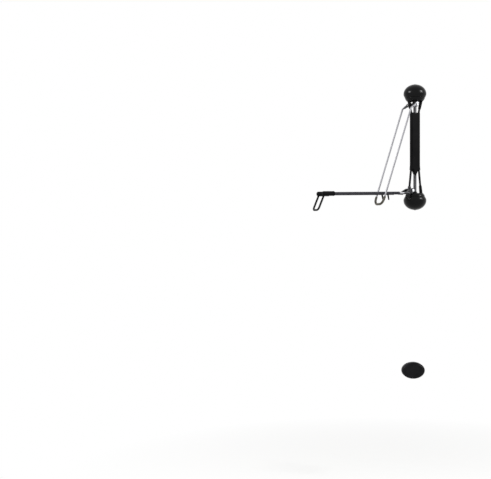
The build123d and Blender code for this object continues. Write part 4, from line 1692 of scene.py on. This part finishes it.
@dataclass
class TyreRest:
    """Rubber pad of the tyre rest, low on the wall.

    Args:
        level: height of its middle.
        half_width: of the pad.
        half_height: of the pad.
        depth: out from the wall.
        edge: radius of its front edge.
        wall: of the pad round its base.
        base_depth: of the recess for the base.
        base_inset: of the ring that the recess's floor closes from.
        groove_radius: of the upright groove in its face.
        groove_depth: of that groove.
        edge_rows: rings along the front edge.
        front_rows: rings from there to the middle.
        middle: size of the last ring, as a share of the first.
        columns: points round a ring.
        sharp: angle in degrees from which an edge is sharp.
    """

    level: float = -1073.0
    half_width: float = 55.5
    half_height: float = 40.0
    depth: float = 30.0
    edge: float = 13.0
    wall: float = 5.0
    base_depth: float = 10.0
    base_inset: float = 20.0
    groove_radius: float = 60.0
    groove_depth: float = 6.0
    edge_rows: int = 12
    front_rows: int = 27
    middle: float = 0.01
    columns: int = 160
    sharp: float = 50.0

    def pad_skin(self) -> Skin:
        """The pad as rings of an ellipse.

        Each ring is an ellipse drawn in by an inset at a depth from the wall, and the front's rings
        shrink to the middle. Where a ring reaches into the groove, its depth is cut to the groove's
        round floor.

        Returns:
            The pad's skin.
        """
        turn = np.linspace(0.0, pi / 2, self.edge_rows)
        draw_in, rise = self.edge * (1 - np.cos(turn)), self.edge * np.sin(turn)
        shrink = np.linspace(1.0, self.middle, self.front_rows + 1)[1:]
        front = np.ones_like(shrink)
        inset = np.r_[self.base_inset, self.wall, self.wall, 0.0, draw_in, self.edge * front]
        flank = self.depth - self.edge + rise
        depth = np.r_[self.base_depth, self.base_depth, 0.0, 0.0, flank, self.depth * front]
        share = np.r_[np.ones(len(inset) - len(shrink)), shrink]
        angle = full_turn(self.columns)
        across = np.outer(share * (self.half_width - inset), np.cos(angle))
        height = np.outer(share * (self.half_height - inset), np.sin(angle))
        floor = np.sqrt(np.maximum(self.groove_radius**2 - across**2, 0.0)) - self.groove_radius
        out = np.minimum(depth[:, None], self.depth - np.maximum(0.0, self.groove_depth + floor))
        return grid_skin(np.stack([across, -out, self.level + height], axis=-1))

    def build(self, palette: Palette) -> Iterator[str]:
        """Make the pad, on the wall, and give its name."""
        pad, name, slot = self.pad_skin(), "rest_pad", Slot.BLACK_RUBBER
        yield palette.piece(f"{name}_rubber", pad, slot, Body.WALL, name, sharp=self.sharp)


@dataclass(frozen=True)
class Lamp:
    """A soft square lamp, in metres and watts.

    Args:
        name: of the lamp.
        place: where it stands.
        size: of a side.
        power: of the lamp.
        aim: point that it is turned to.
    """

    name: str
    place: Triple
    size: float
    power: float
    aim: Triple = (-0.1, -0.1, -0.1)


@dataclass
class Studio:
    """Pale floor, soft lamps, white surroundings and the camera.

    Args:
        camera_place: in metres.
        camera_turn: angles in radians that set the camera level, facing the wall.
        lens: focal length of the camera.
        sensor: width of the camera's sensor.
        lamps: that light the rack.
        soft_light: strength of the surroundings on rough surfaces.
        floor_level: in metres.
        floor_half: half a side of the floor, in metres.
        floor_tones: darker and lighter colour of the floor.
        floor_mottle: scale and octaves of the noise between them.
        floor_fade: distance from the middle, in metres, to how white the floor is seen.
    """

    camera_place: Triple = (-0.810, -4.762, -0.441)
    camera_turn: Triple = (pi / 2, 0.0, 0.0)
    lens: float = 72.07
    sensor: float = 36.0
    lamps: tuple[Lamp, ...] = (
        Lamp("key_lamp", (2.8, -1.6, 1.7), size=1.0, power=110.0),
        Lamp("fill_lamp", (-3.0, -1.3, 1.5), size=0.8, power=85.0),
    )
    soft_light: float = 0.45
    floor_level: float = -1.62
    floor_half: float = 2.2
    floor_tones: tuple[Triple, Triple] = ((0.9, 0.9, 0.89), (0.93, 0.93, 0.92))
    floor_mottle: tuple[float, float] = (30.0, 2.0)
    floor_fade: Band = Band(0.5, 1.76, 0.35)

    def camera(self) -> None:
        """Level camera at the photograph's place."""
        data = bpy.data.cameras.new("camera")
        data.lens = self.lens
        data.sensor_width = self.sensor
        data.sensor_fit = "HORIZONTAL"
        made = shown("camera", data)
        made.location = self.camera_place
        made.rotation_euler = self.camera_turn
        bpy.context.scene.camera = made

    def light(self) -> None:
        """Soft square lamps, each turned to its aim."""
        for lamp in self.lamps:
            data = bpy.data.lights.new(lamp.name, "AREA")
            data.shape = "SQUARE"
            data.size = lamp.size
            data.energy = lamp.power
            made = shown(lamp.name, data)
            made.location = lamp.place
            toward = Vector(lamp.aim) - Vector(lamp.place)
            made.rotation_euler = toward.to_track_quat("-Z", "Y").to_euler()

    @staticmethod
    def seen(sheet: Sheet) -> Socket:
        """One for rays from the camera, from a reflection or through glass.

        Args:
            sheet: to add the nodes to.

        Returns:
            The socket, which is zero for all other rays.
        """
        path = sheet.add("ShaderNodeLightPath").outputs
        direct = sheet.math("MAXIMUM", path["Is Camera Ray"], path["Is Glossy Ray"])
        return sheet.math("MAXIMUM", direct, path["Is Transmission Ray"])

    def surroundings(self) -> None:
        """White to the camera and in reflections, and a softer light on rough surfaces."""
        world = bpy.data.worlds.new("studio")
        bpy.context.scene.world = world
        world.use_nodes = True
        sheet = Sheet(world.node_tree)
        soft = sheet.add("ShaderNodeBackground", {"Color": WHITE, "Strength": self.soft_light})
        white = sheet.add("ShaderNodeBackground", {"Color": WHITE})
        sheet.blend(self.seen(sheet), soft, white, "ShaderNodeOutputWorld")

    def floor_material(self) -> bpy.types.Material:
        """Pale floor whose rim melts into the white surroundings.

        Returns:
            The floor's material.
        """
        made = bpy.data.materials.new("pale_floor")
        made.use_nodes = True
        sheet = Sheet(made.node_tree)
        place = sheet.place()
        colour = sheet.mix(sheet.noise(place, *self.floor_mottle), *self.floor_tones)
        matt = sheet.add("ShaderNodeBsdfDiffuse", {"Color": colour})
        white = sheet.add("ShaderNodeEmission", {"Color": WHITE})
        flat = sheet.add("ShaderNodeVectorMath", {0: place, 1: (1.0, 1.0, 0.0)}, operation="MULTIPLY")
        span = sheet.add("ShaderNodeVectorMath", {0: flat.outputs[0]}, operation="LENGTH")
        rim = sheet.spread(span.outputs["Value"], self.floor_fade)
        share = sheet.math("MULTIPLY", rim, self.seen(sheet))
        sheet.blend(share, matt, white, "ShaderNodeOutputMaterial")
        return made

    def floor(self) -> None:
        """A flat square floor under the rack."""
        low, high, level = -self.floor_half, self.floor_half, self.floor_level
        corners = [(low, low, level), (high, low, level), (high, high, level), (low, high, level)]
        mesh = bpy.data.meshes.new("floor")
        mesh.from_pydata(corners, [], [(0, 1, 2, 3)])
        mesh.materials.append(self.floor_material())
        shown("floor", mesh)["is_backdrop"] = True

    def build(self) -> None:
        """The whole studio."""
        bpy.context.scene.view_settings.view_transform = "Standard"
        self.camera()
        self.light()
        self.surroundings()
        self.floor()


def write_sizes() -> None:
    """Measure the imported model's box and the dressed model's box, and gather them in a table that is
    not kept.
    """
    boxes = {"cad": CAD_BOX, "visual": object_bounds()}
    sizes = {name: [list(corner) for corner in box] for name, box in boxes.items()}


def main() -> None:
    """Build the studio and the rack's pieces in order."""
    logging.basicConfig(level=logging.INFO, format="%(name)s %(message)s")
    Studio().build()
    palette = Palette()
    for assembly in (WallSide(), SwingFrame(), LowerArm(), Stirrup(), TyreRest()):
        for name in assembly.build(palette):
            log.info("%s: %s", type(assembly).__name__, name)
    write_sizes()


if __name__ == "__main__":
    main()
